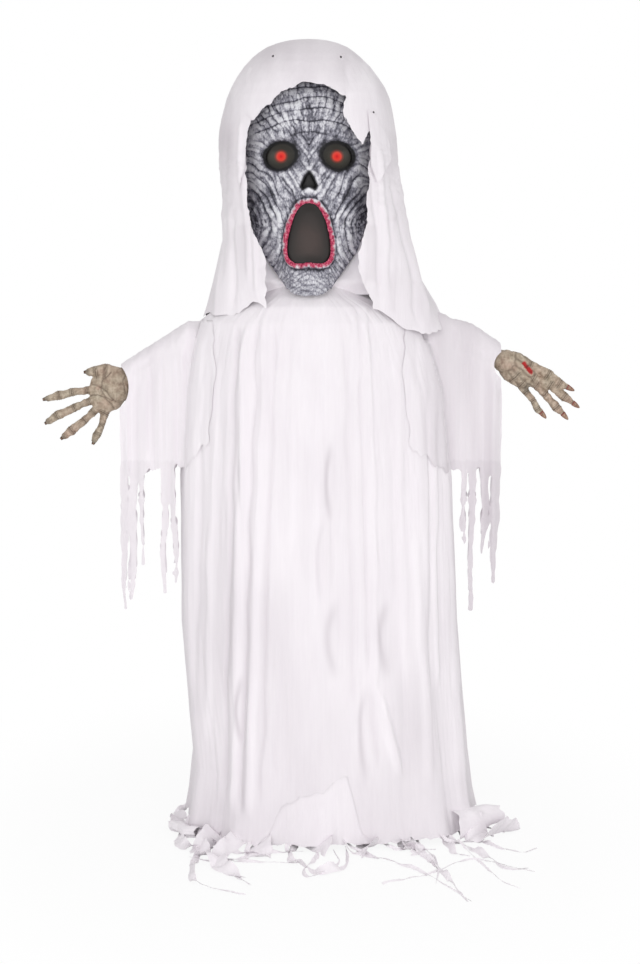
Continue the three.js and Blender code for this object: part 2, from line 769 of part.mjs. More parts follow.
// A sleeve is draped over the arm: a curved top, and a front and a back fall that end in torn strips.
function sleeve(side, sideName, bend, along, length) {
  const slope = along.z / Math.abs(along.x);
  const tall = foamRadius / Math.abs(along.x) + 0.7;
  const half = foamRadius + 0.9;
  const bendX = Math.abs(bend.x);
  const outerX = side < 0 ? 430 : 438;
  const curtainX = side < 0 ? 304 : 348;
  const lineZ = (x) => shoulderZ + slope * Math.max(0, x - bendX);
  const hemAt = (x) => (x < curtainX - 1 ? armholeBottom + 14 : fringeHemZ + 18 * Math.sin(x * 0.13));
  const fall = [0, 0.2, 0.45, 0.72, 1];
  const ringAt = (x, grow, hem, atX) => {
    const line = lineZ(atX);
    const wave = (share, back) =>
      7 * share * Math.sin((atX - curtainX) * 0.085 + (back ? 1.4 : 0)) + 6 * share;
    const front = fall.map((share) => {
      const z = mix(line, hem, share);
      return vec(side * x, -(half + grow + wave(share, false)), z);
    });
    const back = fall.map((share) => {
      const z = mix(line, hem, share);
      return vec(side * x, half + grow + wave(share, true), z);
    });
    const arch = [1, 2, 3, 4, 5, 6, 7].map((i) => {
      const angle = (Math.PI * i) / 8;
      return vec(side * x, -(half + grow) * Math.cos(angle), line + (tall + grow) * Math.sin(angle));
    });
    return [...front.reverse(), ...arch, ...back];
  };
  const stations = [armholeX + 3.5, 260, bendX, curtainX - 3, curtainX, curtainX + 22];
  for (let x = curtainX + 46; x < outerX - 12; x += 24) stations.push(x);
  stations.push(outerX);
  const outer = loft(stations.map((x) => ringAt(x, clothWall, hemAt(x), x)));
  const [firstX, lastX] = [stations[0], stations[stations.length - 1]];
  const inner = loft([
    ringAt(firstX - 20, 0, hemAt(firstX) - 30, firstX),
    ...stations.map((x) => ringAt(x, 0, hemAt(x) - 30, x)),
    ringAt(lastX + 20, 0, hemAt(lastX) - 30, lastX),
  ]);
  const stripCount = side < 0 ? 4 : 3;
  const pitch = (outerX - curtainX) / stripCount;
  const gaps = [];
  for (let i = 1; i < stripCount; i++) {
    const x = curtainX + pitch * i;
    const outline = [
      [side * (x - 7), fringeHemZ - 60],
      [side * (x + 6), fringeHemZ - 60],
      [side * (x + 4), mix(fringeHemZ, sleeveHemZ, 0.6)],
      [side * x, sleeveHemZ + 20 * (i % 2)],
      [side * (x - 5), mix(fringeHemZ, sleeveHemZ, 0.45)],
    ];
    gaps.push(prismAlongY(outline, -200, 200));
  }
  piece(clothes, `sleeve_${sideName}`, cut(outer, inner, ...gaps), whiteCloth);
}
arm(rightArm, -1, 'right', rightWrist);
arm(leftArm, 1, 'left', leftWrist);

// Hood: one cloth over the skull form, open in front of the face, with a hem that hangs lower on
// the figure's left and forms a lobe there
const hoodTable = [
  [hoodTopZ, 6, 6, 6],
  [hoodTopZ - 6, 58, 52, 58],
  [hoodTopZ - 20, 95, 88, 98],
  [hoodTopZ - 43, 127, 118, 134],
  [hoodTopZ - 89, 163, 150, 170],
  [hoodTopZ - 134, 183, 168, 192],
  [hoodTopZ - 180, 196, 178, 206],
  [hoodTopZ - 225, 203, 184, 212],
  [hoodTopZ - 362, 208, 182, 212],
  [hoodTopZ - 453, 215, 178, 206],
  [hoodTopZ - 545, 236, 176, 198],
  [hoodTopZ - 600, 254, 178, 192],
  [hoodTopZ - hoodLength - 42, 276, 184, 190],
];
const hoodFolds = [
  [-58, 11, 0, 14],
  [-95, 12, 0, 12],
  [-135, 12, 0, 14],
  [180, 12, 0, 14],
  [140, 12, 0, 14],
  [100, 12, 0, 12],
  [62, 12, 0, 16],
];
const hoodHemZ = hoodTopZ - hoodLength;
const hemDrop = (angle) => {
  const lobe = Math.exp(-(((angle / degrees - 58) / 26) ** 2));
  return 42 * lobe + 8 * Math.sin(5 * angle);
};
function hoodRing(share, inward, extra = 0) {
  return hoodAngles.map((angle) => {
    const z = mix(hoodTopZ - inward, hoodHemZ - hemDrop(angle), share) - extra;
    const at = mix(hoodTopZ, hoodHemZ - hemDrop(angle), share);
    const halfWidth = tableAt(hoodTable, at, 1);
    const halfDepth = tableAt(hoodTable, at, Math.cos(angle) > 0 ? 2 : 3);
    const growth = clamp01((hoodTopZ - 200 - at) / 460);
    const fold = smooth(growth * 2) * foldDepth(hoodFolds, angle, growth);
    return outlinePoint(angle, Math.max(3, halfWidth - inward), Math.max(3, halfDepth - inward), z, fold, 2.2);
  });
}
const hoodAngles = Array.from({ length: 30 }, (_, i) => (i / 30) * 2 * Math.PI - Math.PI);
const hoodShares = [0, 0.01, 0.035, 0.07, 0.14, 0.215, 0.29, 0.37, 0.5, 0.64, 0.78, 0.89, 1];
const hoodOuter = loft(hoodShares.map((share) => hoodRing(share, 0)));
const hoodInner = loft([...hoodShares.map((share) => hoodRing(share, clothWall)), hoodRing(1, clothWall, 40)]);
const hoodRoom = loft(hoodShares.map((share) => hoodRing(share, clothWall + 0.5)));

// Head: skull form on its neck socket
const skullBall = (halfWidth, halfDepth, halfHeight, widthSegments, heightSegments) => {
  const ball = new THREE.SphereGeometry(1, widthSegments, heightSegments);
  ball.scale(halfWidth, halfHeight, halfDepth);
  ball.rotateX(Math.PI / 2);
  ball.translate(0, skullCentreY, skullCentreZ);
  return facingOut(ball);
};
const skullOuter = skullBall(skullHalfWidth, skullHalfDepth, skullHalfHeight, 18, 10);
const skullInner = skullBall(skullHalfWidth - skullWall, skullBackY - skullCentreY - 4, skullHalfHeight - skullWall, 18, 10);
const leadHoles = [-1, 1].map((side) =>
  aimed(rod(leadRadius + 2.5, -10, 60, 12), vec(side * 18, skullBackY - 30, boxZ - 20), vec(0, 1, 0)),
);
const skull = cut(
  common(skullOuter, hoodRoom),
  skullInner,
  block(far, far, far, 0, skullFrontY - far / 2, skullCentreZ),
  block(far, far, far, 0, skullBackY + far / 2, skullCentreZ),
  block(far, far, far, 0, 0, skullFloorZ - far / 2),
  ...leadHoles,
);
piece(head, 'skull_form', skull, whitePlastic);

const neckFlangeTop = skullFloorZ - seatGap;
const neckSocketBottom = collarZ + collarHeight + seatGap;
const neckSocket = turned(
  [
    [poleBore, neckSocketBottom],
    [poleBore + 6, neckSocketBottom],
    [poleBore + 6, neckFlangeTop - 5],
    [60, neckFlangeTop - 5],
    [60, neckFlangeTop],
    [0, neckFlangeTop],
    [0, neckTubeTop + seatGap],
    [poleBore, neckTubeTop + seatGap],
  ],
  32,
);
piece(head, 'neck_socket', neckSocket, blackPlastic);

// Mask: half-width, depth of the middle line and depth of the rim at each height
const maskHeight = maskTopZ - maskChinZ;
const maskAt = (share) => maskChinZ + maskHeight * share;
const maskTable = [
  [maskAt(1), 40, -96, -70],
  [maskAt(0.965), 88, -116, -58],
  [maskAt(0.92), 118, -131, -56],
  [maskAt(0.86), 138, -143, -55],
  [maskAt(0.77), 147, -153, -55],
  [maskAt(0.66), 147, -150, -55],
  [maskAt(0.58), 145, -158, -55],
  [maskAt(0.5), 141, -163, -56],
  [maskAt(0.4), 134, -160, -60],
  [maskAt(0.3), 124, -154, -66],
  [maskAt(0.2), 104, -150, -76],
  [maskAt(0.12), 76, -149, -92],
  [maskAt(0.05), 52, -146, -110],
  [maskChinZ, 38, -136, -118],
];
// Each relief: centre x (mirrored when not 0), z, half-width, half-height, and how far it stands out.
const maskRelief = [
  [eyeX, eyeZ, 34, 32, -13],
  [eyeX, eyeZ + 50, 44, 14, 7],
  [96, eyeZ - 66, 26, 40, 6],
  [0, eyeZ - 46, 15, 40, 8],
  [0, maskChinZ + 42, 34, 18, 6],
];
function maskPoint(share, z) {
  const halfWidth = tableAt(maskTable, z, 1);
  const [middle, rim] = [tableAt(maskTable, z, 2), tableAt(maskTable, z, 3)];
  const x = share * halfWidth;
  let y = mix(middle, rim, Math.abs(share) ** 2.6);
  for (const [cx, cz, wide, tall, out] of maskRelief) {
    for (const centre of cx === 0 ? [0] : [-cx, cx]) {
      y -= out * Math.exp(-(((x - centre) / wide) ** 2) - ((z - cz) / tall) ** 2);
    }
  }
  return vec(x, y, z);
}
const maskShares = [-1, -0.92, -0.78, -0.6, -0.42, -0.22, 0, 0.22, 0.42, 0.6, 0.78, 0.92, 1];
const maskLevels = [1, 0.96, 0.91, 0.84, 0.76, 0.69, 0.62, 0.55, 0.47, 0.38, 0.28, 0.18, 0.08, 0];
const maskGrid = maskLevels.map((share) => maskShares.map((u) => maskPoint(u, maskAt(share))));
const behindRim = block(far, far, far, 0, skullFrontY - seatGap + far / 2, skullCentreZ);
const behindMask = (from, to) => shellBetween(movedIn(maskGrid, from), movedIn(maskGrid, to));

// Openings of the face: round sunken eyes, a two-lobed nose cavity and an egg-shaped open mouth.
const ellipse = (cx, cz, wide, tall, tilt, count = 14) =>
  Array.from({ length: count }, (_, i) => {
    const angle = (2 * Math.PI * i) / count;
    const [u, v] = [wide * Math.cos(angle), tall * Math.sin(angle)];
    return [cx + u * Math.cos(tilt) - v * Math.sin(tilt), cz + u * Math.sin(tilt) + v * Math.cos(tilt)];
  });
const eyeOutline = (side, grow) => ellipse(side * eyeX, eyeZ, 33 + grow, 29 + grow, -side * 0.35);
const noseOutline = (grow) => {
  const half = [
    [0, eyeZ - 36 + grow],
    [7 + grow * 0.7, eyeZ - 46 + grow * 0.5],
    [16 + grow, eyeZ - 66],
    [12 + grow * 0.6, eyeZ - 72 - grow],
  ];
  return [...half, [0, eyeZ - 65 - grow], ...half.slice(1).reverse().map(([x, z]) => [-x, z])];
};
const mouthHalf = [[0, 74], [17, 70], [31, 50], [42, 16], [49, -20], [47, -46], [34, -61], [15, -62], [0, -58]];
const mouthOutline = (grow) => {
  const half = mouthHalf.map(([x, z]) => {
    const bigger = 1 + grow / Math.hypot(x, z);
    return [x * bigger, maskChinZ + 130 + z * bigger];
  });
  return [...half, ...half.slice(1, -1).reverse().map(([x, z]) => [-x, z])];
};
const through = (outline) => prismAlongY(outline, -400, 0);
piece(
  head,
  'face_mask',
  cut(
    shellBetween(maskGrid, movedIn(maskGrid, maskWall)),
    behindRim,
    through(eyeOutline(-1, 0)),
    through(eyeOutline(1, 0)),
    through(noseOutline(0)),
    through(mouthOutline(0)),
  ),
  greyMask,
);
const meshLayer = behindMask(maskWall + 0.5, maskWall + 1.8);
piece(head, 'eye_mesh_right', common(meshLayer, through(eyeOutline(-1, 7))), darkMesh);
piece(head, 'eye_mesh_left', common(meshLayer, through(eyeOutline(1, 7))), darkMesh);
piece(head, 'nose_backing', common(meshLayer, through(noseOutline(6))), darkMesh);
piece(head, 'mouth_mesh', common(meshLayer, through(mouthOutline(8))), darkMesh);

// Lights: a bar across the skull's front rim with a tube to each eye
const barBackY = skullFrontY - seatGap;
const barFrontY = barBackY - eyeBarThickness;
const rimShare = (halfHeight, halfDepth) =>
  Math.sqrt(1 - ((skullFrontY - skullCentreY) / halfDepth) ** 2 - ((eyeZ - skullCentreZ) / halfHeight) ** 2);
const barHalf = skullHalfWidth * rimShare(skullHalfHeight, skullHalfDepth) - 6;
const meshY = (x) => maskPoint(x / tableAt(maskTable, eyeZ, 1), eyeZ).y + maskWall + 2.4;
const barHoles = [-1, 1].map((side) =>
  aimed(rod(leadRadius + 1.2, -20, 40, 12), vec(side * eyeX, barFrontY, eyeZ), vec(0, 1, 0)),
);
const bar = block(2 * barHalf, eyeBarThickness, eyeBarHeight, 0, (barBackY + barFrontY) / 2, eyeZ);
piece(head, 'eye_bar', cut(bar, ...barHoles), blackPlastic);
for (const [side, sideName] of [[-1, 'right'], [1, 'left']]) {
  const tip = meshY(side * eyeX) + 2;
  const ledBack = tip + 9;
  const start = vec(side * eyeX, barFrontY - seatGap, eyeZ);
  const holderLength = start.y - ledBack;
  const holder = aimed(tube(ledHolderRadius, leadRadius + 1.2, 0, holderLength, 16), start, vec(0, -1, 0));
  piece(head, `led_holder_${sideName}`, holder, blackPlastic);
  const lens = aimed(
    turned(
      [
        [0, 0],
        [ledRadius + 1.5, 0],
        [ledRadius + 1.5, 1.2],
        [ledRadius, 1.2],
        [ledRadius, 6],
        [ledRadius * 0.72, 7.8],
        [0, 8.6],
      ],
      14,
    ),
    vec(side * eyeX, ledBack - seatGap, eyeZ),
    vec(0, -1, 0),
  );
  piece(head, `led_${sideName}`, lens, redLens);
  const leadPath = [
    vec(side * 18, skullBackY - 0.2, boxZ - 20),
    vec(side * 18, skullBackY - 22, boxZ - 20),
    vec(side * 24, 80, boxZ - 22),
    vec(side * 46, 10, eyeZ + 22),
    vec(side * eyeX, -30, eyeZ + 1),
    vec(side * eyeX, -50, eyeZ),
    vec(side * eyeX, barFrontY - 10, eyeZ),
    vec(side * eyeX, ledBack + 0.3, eyeZ),
  ];
  piece(head, `led_lead_${sideName}`, strand(leadPath, leadRadius, 8, 16), leadRubber);
}

// Battery box on the back of the skull form, with a door that slides down
const boxFrontY = skullBackY + seatGap;
const boxBackY = boxFrontY + boxDepth;
const grooveY = boxBackY - 4.4;
const boxLow = boxZ - boxHeight / 2;
const boxHigh = boxZ + boxHeight / 2;
const roomBack = grooveY + 0.5;
const boxRoom = block(
  boxWidth - 2 * boxWall - 6,
  roomBack - boxFrontY - boxWall,
  boxHeight - 2 * boxWall - 4,
  0,
  (roomBack + boxFrontY + boxWall) / 2,
  boxZ,
);
const doorWidth = boxWidth - 2 * boxWall;
const doorHeight = boxHeight - boxWall - 0.6;
const grooveHeight = doorHeight + 40;
const groove = block(
  doorWidth + 0.6,
  doorThickness + 0.6,
  grooveHeight,
  0,
  grooveY + 0.3 + doorThickness / 2,
  boxHigh - boxWall - grooveHeight / 2,
);
const windowWidth = doorWidth - 8;
const boxWindow = block(windowWidth, 20, grooveHeight, 0, grooveY + 11, boxHigh - boxWall - 4 - grooveHeight / 2);
const switchZ = boxZ + 16;
const switchSlot = block(30, 6.6, 14, boxWidth / 2, boxFrontY + 9, switchZ);
piece(
  head,
  'battery_box',
  cut(block(boxWidth, boxDepth, boxHeight, 0, (boxFrontY + boxBackY) / 2, boxZ), boxRoom, groove, boxWindow, switchSlot),
  blackPlastic,
);
const doorBottom = boxLow + 0.3;
const door = join(
  block(doorWidth, doorThickness, doorHeight, 0, grooveY + 0.3 + doorThickness / 2, doorBottom + doorHeight / 2),
  block(24, 1.8, 3, 0, grooveY + 0.3 + doorThickness + 0.8, doorBottom + 14),
  block(24, 1.8, 3, 0, grooveY + 0.3 + doorThickness + 0.8, doorBottom + 20),
);
piece(head, 'battery_door', door, blackPlastic);
const cellY = boxFrontY + boxWall + cellRadius + 0.4;
for (const [x, name] of [[-20, 'cell_right'], [-4, 'cell_left']]) {
  const cell = turned(
    [
      [0, -cellLength / 2],
      [cellRadius, -cellLength / 2],
      [cellRadius, cellLength / 2 - 1.5],
      [2.7, cellLength / 2 - 1.5],
      [2.7, cellLength / 2],
      [0, cellLength / 2],
    ],
    16,
  );
  piece(head, name, cell, cellLabel, x, cellY, boxZ);
}
const switchTravel = 2;
const knob = join(
  block(9, 6, 14 - 2 * switchTravel - 1, boxWidth / 2 - 3, boxFrontY + 9, switchZ),
  block(3, 4, 3, boxWidth / 2 + 2.5, boxFrontY + 9, switchZ),
);
piece(head, 'power_switch', knob, whitePlastic);

// The opening of the hood in front of the face: x, and height from the middle of the skull
const faceOpening = [
  [-102, -600],
  [-102, -360],
  [-106, -310],
  [-124, -240],
  [-137, -100],
  [-140, -10],
  [-132, 40],
  [-98, 76],
  [-50, 90],
  [0, 94],
  [45, 84],
  [82, 60],
  [118, 36],
  [134, -10],
  [134, -80],
  [127, -230],
  [112, -300],
  [116, -360],
  [130, -420],
  [136, -600],
];
const openingTool = prismAlongY(faceOpening, -400, 0).translate(0, 0, skullCentreZ);
piece(head, 'hood', cut(hoodOuter, hoodInner, openingTool), whiteCloth);

export default figure;
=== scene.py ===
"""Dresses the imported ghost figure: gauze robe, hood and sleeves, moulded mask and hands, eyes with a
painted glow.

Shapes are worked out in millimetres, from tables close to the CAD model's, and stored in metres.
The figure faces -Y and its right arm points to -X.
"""

import json
import math
from functools import partial

import bpy
import numpy as np
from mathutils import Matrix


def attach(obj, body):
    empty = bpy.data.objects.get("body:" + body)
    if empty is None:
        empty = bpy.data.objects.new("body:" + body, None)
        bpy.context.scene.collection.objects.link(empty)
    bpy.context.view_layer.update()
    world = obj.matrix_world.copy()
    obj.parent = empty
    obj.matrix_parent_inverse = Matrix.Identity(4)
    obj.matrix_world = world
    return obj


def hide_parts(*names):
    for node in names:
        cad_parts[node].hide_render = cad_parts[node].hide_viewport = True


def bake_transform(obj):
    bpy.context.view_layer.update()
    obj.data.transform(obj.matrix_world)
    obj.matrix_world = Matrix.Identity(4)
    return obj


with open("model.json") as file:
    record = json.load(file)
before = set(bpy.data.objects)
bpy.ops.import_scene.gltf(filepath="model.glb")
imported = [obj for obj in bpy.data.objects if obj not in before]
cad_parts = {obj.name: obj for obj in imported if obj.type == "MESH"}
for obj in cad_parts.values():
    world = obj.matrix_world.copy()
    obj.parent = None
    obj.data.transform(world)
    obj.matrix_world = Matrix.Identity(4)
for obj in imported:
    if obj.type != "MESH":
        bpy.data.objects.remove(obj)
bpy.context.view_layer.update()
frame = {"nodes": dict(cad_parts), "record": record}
MM = 0.001

# Shared sizes, in millimetres
SHOULDER_Z = 1118
NECK_Z = 1236
ARMHOLE_TOP = 1158
ARMHOLE_BOTTOM = 945
ARMHOLE_X = 240
ARMHOLE_HALF_HEIGHT = 103
# How far the armhole reaches to the front and back, above and below the step in its edge
ARMHOLE_HIGH_REACH = 79
ARMHOLE_LOW_REACH = 48
ARMHOLE_STEP_Z = 1086
ELBOW_X = 277
FOAM_RADIUS = 28
CLOTH = 2.5
HOOD_TOP = 1794
MASK_TOP = 1700
CHIN_Z = 1220
EYE_X = 61
EYE_Z = 1524
MOUTH_Z = CHIN_Z + 130
# Rough distances of the robe and the hood from their middle line, for the way round them
ROBE_RADIUS = 265
HOOD_RADIUS = 190


# Number helpers
def smooth(t):
    t = np.clip(t, 0, 1)
    return t * t * (3 - 2 * t)


def mix(a, b, t):
    return a + (b - a) * t


def table_at(table, height, column):
    rows = np.array(table, float)[::-1]
    return np.interp(height, rows[:, 0], rows[:, column])


def lattice(i, j, seed):
    n = (i * 374761393 + j * 668265263 + seed * 144269504) & 0xFFFFFFFF
    n = ((n ^ (n >> 13)) * 1274126177) & 0xFFFFFFFF
    return ((n ^ (n >> 16)) & 0xFFFF) / 32767.5 - 1


def noise(u, v, seed=0):
    u, v = np.broadcast_arrays(np.asarray(u, float), np.asarray(v, float))
    i, j = np.floor(u).astype(np.int64), np.floor(v).astype(np.int64)
    a, b = smooth(u - i), smooth(v - j)
    low = mix(lattice(i, j, seed), lattice(i + 1, j, seed), a)
    high = mix(lattice(i, j + 1, seed), lattice(i + 1, j + 1, seed), a)
    return mix(low, high, b)


def rough(u, v, seed=0, octaves=3):
    return sum(noise(u * 2**k, v * 2**k, seed + k) / 2**k for k in range(octaves))


def bell(t):
    return np.exp(-(t**2))


def line_distance(x, z, line):
    """Distance from each point to a polyline in the x-z plane."""
    best = np.full(np.shape(x), 1e9)
    for (ax, az), (bx, bz) in zip(line, line[1:]):
        ex, ez = bx - ax, bz - az
        t = np.clip(((x - ax) * ex + (z - az) * ez) / (ex * ex + ez * ez), 0, 1)
        best = np.minimum(best, np.hypot(x - ax - t * ex, z - az - t * ez))
    return best


def polygon_distance(x, z, outline):
    """Distance to a closed outline, positive outside."""
    closed = outline + outline[:1]
    odd = np.zeros(np.shape(x), bool)
    for (ax, az), (bx, bz) in zip(closed, closed[1:]):
        if az != bz:
            odd ^= ((az > z) != (bz > z)) & (x < ax + (z - az) * (bx - ax) / (bz - az))
    best = line_distance(x, z, closed)
    return np.where(odd, -best, best)


# Mesh helpers
def clipped_grid(points, keep, closed=False, extras=()):
    """Vertices and faces of a grid of points where keep is above 0, cut cleanly along keep = 0."""
    rows, columns = keep.shape
    index = np.arange(rows * columns).reshape(rows, columns)
    if closed:
        index[:, -1] = index[:, 0]
    inside = keep > 0
    corners = [inside[:-1, :-1], inside[:-1, 1:], inside[1:, 1:], inside[1:, :-1]]
    whole = corners[0] & corners[1] & corners[2] & corners[3]
    mixed = (corners[0] | corners[1] | corners[2] | corners[3]) & ~whole
    i, j = np.nonzero(whole)
    faces = np.stack([index[i, j], index[i, j + 1], index[i + 1, j + 1], index[i + 1, j]], 1).tolist()
    flat = points.reshape(-1, 3)
    values = [extra.reshape(-1) for extra in extras]
    field = keep.reshape(-1)
    added, more = {}, []

    def crossing(a, b):
        key = (a, b) if a < b else (b, a)
        if key not in added:
            t = field[a] / (field[a] - field[b])
            added[key] = rows * columns + len(more)
            more.append((mix(flat[a], flat[b], t), [mix(v[a], v[b], t) for v in values]))
        return added[key]

    for i, j in zip(*np.nonzero(mixed)):
        ring = [(i, j), (i, j + 1), (i + 1, j + 1), (i + 1, j)]
        outline = []
        for k in range(4):
            here, there = ring[k], ring[(k + 1) % 4]
            if inside[here]:
                outline.append(int(index[here]))
            if inside[here] != inside[there]:
                outline.append(crossing(int(index[here]), int(index[there])))
        faces.append(outline)
    points = np.vstack([flat, [m[0] for m in more]]) if more else flat
    values = [np.append(v, [m[1][k] for m in more]) for k, v in enumerate(values)]
    used = np.zeros(len(points), bool)
    for face in faces:
        used[face] = True
    new = np.cumsum(used) - 1
    faces = [[int(new[v]) for v in face] for face in faces]
    return points[used], faces, [v[used] for v in values]


def linked(name, data):
    """A new object in the scene."""
    made = bpy.data.objects.new(name, data)
    bpy.context.scene.collection.objects.link(made)
    return made


def set_values(mesh, **attributes):
    """Smooth shading, and one value a vertex for each attribute."""
    mesh.polygons.foreach_set("use_smooth", np.ones(len(mesh.polygons), bool))
    for key, values in attributes.items():
        layer = mesh.attributes.new(key, "FLOAT", "POINT")
        layer.data.foreach_set("value", np.asarray(values, np.float32))


def add_mesh(name, points, faces, material, **attributes):
    mesh = bpy.data.meshes.new(name)
    mesh.from_pydata((np.asarray(points) * MM).tolist(), [], faces)
    mesh.validate()
    set_values(mesh, **attributes)
    mesh.materials.append(material)
    return linked(name, mesh)


def add_grid(name, points, keep, material, closed=False, **attributes):
    """A one-layer mesh of the part of a grid where keep is above 0."""
    points, faces, cut = clipped_grid(points, keep, closed, tuple(attributes.values()))
    return add_mesh(name, points, faces, material, **dict(zip(attributes, cut)))


def joined_meshes(parts):
    """Several (points, faces) as one."""
    points, faces, start = [], [], 0
    for some, their in parts:
        points.append(some)
        faces += [[v + start for v in face] for face in their]
        start += len(some)
    return np.vstack(points), faces


def ring_faces(rows, sides):
    """Faces of a tube of rings with a cap at both ends."""
    faces = []
    for row in range(rows - 1):
        for k in range(sides):
            a, b = row * sides + k, row * sides + (k + 1) % sides
            faces.append([a, a + sides, b + sides, b])
    faces.append(list(range(sides)))
    faces.append([(rows - 1) * sides + k for k in range(sides)][::-1])
    return faces


def applied(made):
    """Takes what the modifiers show as the object's own mesh."""
    shown = made.evaluated_get(bpy.context.evaluated_depsgraph_get())
    mesh = bpy.data.meshes.new_from_object(shown)
    made.modifiers.clear()
    made.data = mesh
    return mesh


def thickened(made, thickness):
    """Gives a one-layer mesh a wall behind its face."""
    wall = made.modifiers.new("wall", "SOLIDIFY")
    wall.thickness, wall.offset = thickness * MM, -1
    applied(made)


def declare(made, body, slot, *nodes):
    """Says what a piece moves with and the nodes that it takes the place of; its slot is not used."""
    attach(made, body)
    if nodes:
        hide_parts(*nodes)


# Material helpers
class Nodes:
    """Adds and links the nodes of one tree."""

    def __init__(self, tree):
        self.tree = tree

    def link(self, source, target):
        self.tree.links.new(source, target)

    def node(self, kind, **values):
        made = self.tree.nodes.new(kind)
        for key, value in values.items():
            if hasattr(made, key):
                setattr(made, key, value)
            else:
                made.inputs[key.replace("_", " ")].default_value = value
        return made

    def math(self, operation, a, b, clamp=False):
        made = self.node("ShaderNodeMath", operation=operation, use_clamp=clamp)
        for value, socket in ((a, made.inputs[0]), (b, made.inputs[1])):
            if isinstance(value, (int, float)):
                socket.default_value = value
            else:
                self.link(value, socket)
        return made.outputs[0]

    def ranged(self, factor, low, high, **values):
        """A factor stretched to run from low to high."""
        made = self.node("ShaderNodeMapRange", To_Min=low, To_Max=high, **values)
        self.link(factor, made.inputs["Value"])
        return made.outputs["Result"]

    def seen(self):
        """1 for the rays that show a surface to the camera, 0 for those that only light others."""
        path = self.node("ShaderNodeLightPath")
        direct = self.math("ADD", path.outputs["Is Camera Ray"], path.outputs["Is Glossy Ray"])
        return self.math("ADD", direct, path.outputs["Is Transmission Ray"], clamp=True)


class Surface(Nodes):
    """One material with a Principled shader."""

    def __init__(self, name, **sockets):
        self.material = bpy.data.materials.new(name)
        self.material.use_nodes = True
        super().__init__(self.material.node_tree)
        self.shader = self.tree.nodes["Principled BSDF"]
        for key, value in sockets.items():
            self.shader.inputs[key.replace("_", " ")].default_value = value
        self.place = self.node("ShaderNodeTexCoord").outputs["Object"]

    def noise(self, stretch, detail=3.0, roughness=0.55):
        """Noise in the object's own space, with its stretch in x, y and z."""
        scaled = self.node("ShaderNodeMapping")
        scaled.inputs["Scale"].default_value = stretch
        self.link(self.place, scaled.inputs["Vector"])
        made = self.node("ShaderNodeTexNoise", Scale=1.0, Detail=detail, Roughness=roughness)
        self.link(scaled.outputs["Vector"], made.inputs["Vector"])
        return made.outputs["Fac"]

    def attribute(self, name):
        return self.node("ShaderNodeAttribute", attribute_name=name).outputs["Fac"]

    def ramp(self, factor, stops):
        made = self.node("ShaderNodeValToRGB")
        elements = made.color_ramp.elements
        while len(elements) < len(stops):
            elements.new(0.5)
        for element, (place, colour) in zip(elements, stops):
            element.position = place
            element.color = (*colour, 1)
        self.link(factor, made.inputs["Fac"])
        return made.outputs["Color"]

    def blended(self, factor, first, second):
        made = self.node("ShaderNodeMix", data_type="RGBA")
        self.link(factor, made.inputs["Factor"])
        for value, socket in ((first, made.inputs[6]), (second, made.inputs[7])):
            if isinstance(value, tuple):
                socket.default_value = (*value, 1)
            else:
                self.link(value, socket)
        return made.outputs[2]

    def colour(self, source):
        self.link(source, self.shader.inputs["Base Color"])

    def bump(self, height, distance, strength=1.0):
        made = self.node("ShaderNodeBump", Strength=strength, Distance=distance)
        self.link(height, made.inputs["Height"])
        self.link(made.outputs["Normal"], self.shader.inputs["Normal"])

    def roughness(self, factor, low, high):
        self.link(self.ranged(factor, low, high), self.shader.inputs["Roughness"])


def rgb(*display):
    """A display colour of 0 to 255 as the linear colour of a material."""
    shares = [value / 255 for value in display]
    return tuple(s / 12.92 if s <= 10 / 255 else ((s + 0.055) / 1.055) ** 2.4 for s in shares)


def gauze(name, light, dark):
    """Crinkled cotton gauze: fine creases down the cloth with painted shade in their hollows, an open weave
    and faint uneven bleaching.
    """
    made = Surface(name, Roughness=0.9, Sheen_Weight=0.25, Sheen_Roughness=0.5, Specular_IOR_Level=0.15)
    creases = made.noise((150, 150, 5), detail=4)
    threads = made.noise((420, 420, 60), detail=2)
    patches = made.noise((7, 7, 3))
    tone = made.math("ADD", made.math("MULTIPLY", creases, 0.35), made.math("MULTIPLY", patches, 0.65))
    # Painted shade in the creases' hollows, mixed with faint uneven bleaching.
    crease_shade_and_bleach = made.ramp(tone, [(0.3, dark), (0.62, light)])
    # Painted shade: the shade attribute darkens the colour towards a lilac grey.
    made.colour(made.blended(made.attribute("shade"), crease_shade_and_bleach, rgb(196, 188, 194)))
    height = made.math("ADD", creases, made.math("MULTIPLY", threads, 0.45))
    made.bump(height, 0.0011, 0.4)
    made.roughness(patches, 0.82, 0.96)
    return made.material


def moulded(name, colour, worn, roughness, grain=260, metal=0.0):
    """Moulded plastic, rubber or painted metal with a fine grain and handling marks."""
    made = Surface(name, Metallic=metal)
    marks = made.noise((9, 9, 9), detail=5)
    fine = made.noise((grain, grain, grain), detail=2)
    made.colour(made.ramp(marks, [(0.35, colour), (0.72, worn)]))
    made.bump(fine, 0.0004, 0.25)
    made.roughness(marks, max(0.05, roughness - 0.1), min(1, roughness + 0.12))
    return made.material


cloth_white = gauze("gauze_white", rgb(246, 241, 245), rgb(238, 232, 237))
# A slightly darker copy of the white gauze: painted shade for the lining that hangs back inside the robe.
cloth_inner = gauze("gauze_inner_shaded", rgb(243, 238, 242), rgb(235, 229, 234))

# Robe: half-widths to -X and +X and half-depth at each height
COWL_TOP = 1306
ROBE = [
    (COWL_TOP, 88, 90, 78), (1264, 94, 96, 90), (1236, 112, 114, 102), (1224, 130, 132, 111),
    (1214, 150, 152, 120), (1194, 203, 206, 130), (1158, 248, 254, 137), (1110, 262, 276, 140),
    (1000, 280, 308, 152), (799, 290, 326, 162), (602, 290, 333, 168), (452, 288, 338, 172),
    (301, 275, 348, 180), (151, 259, 360, 188), (58, 268, 372, 194), (0, 278, 385, 200),
]
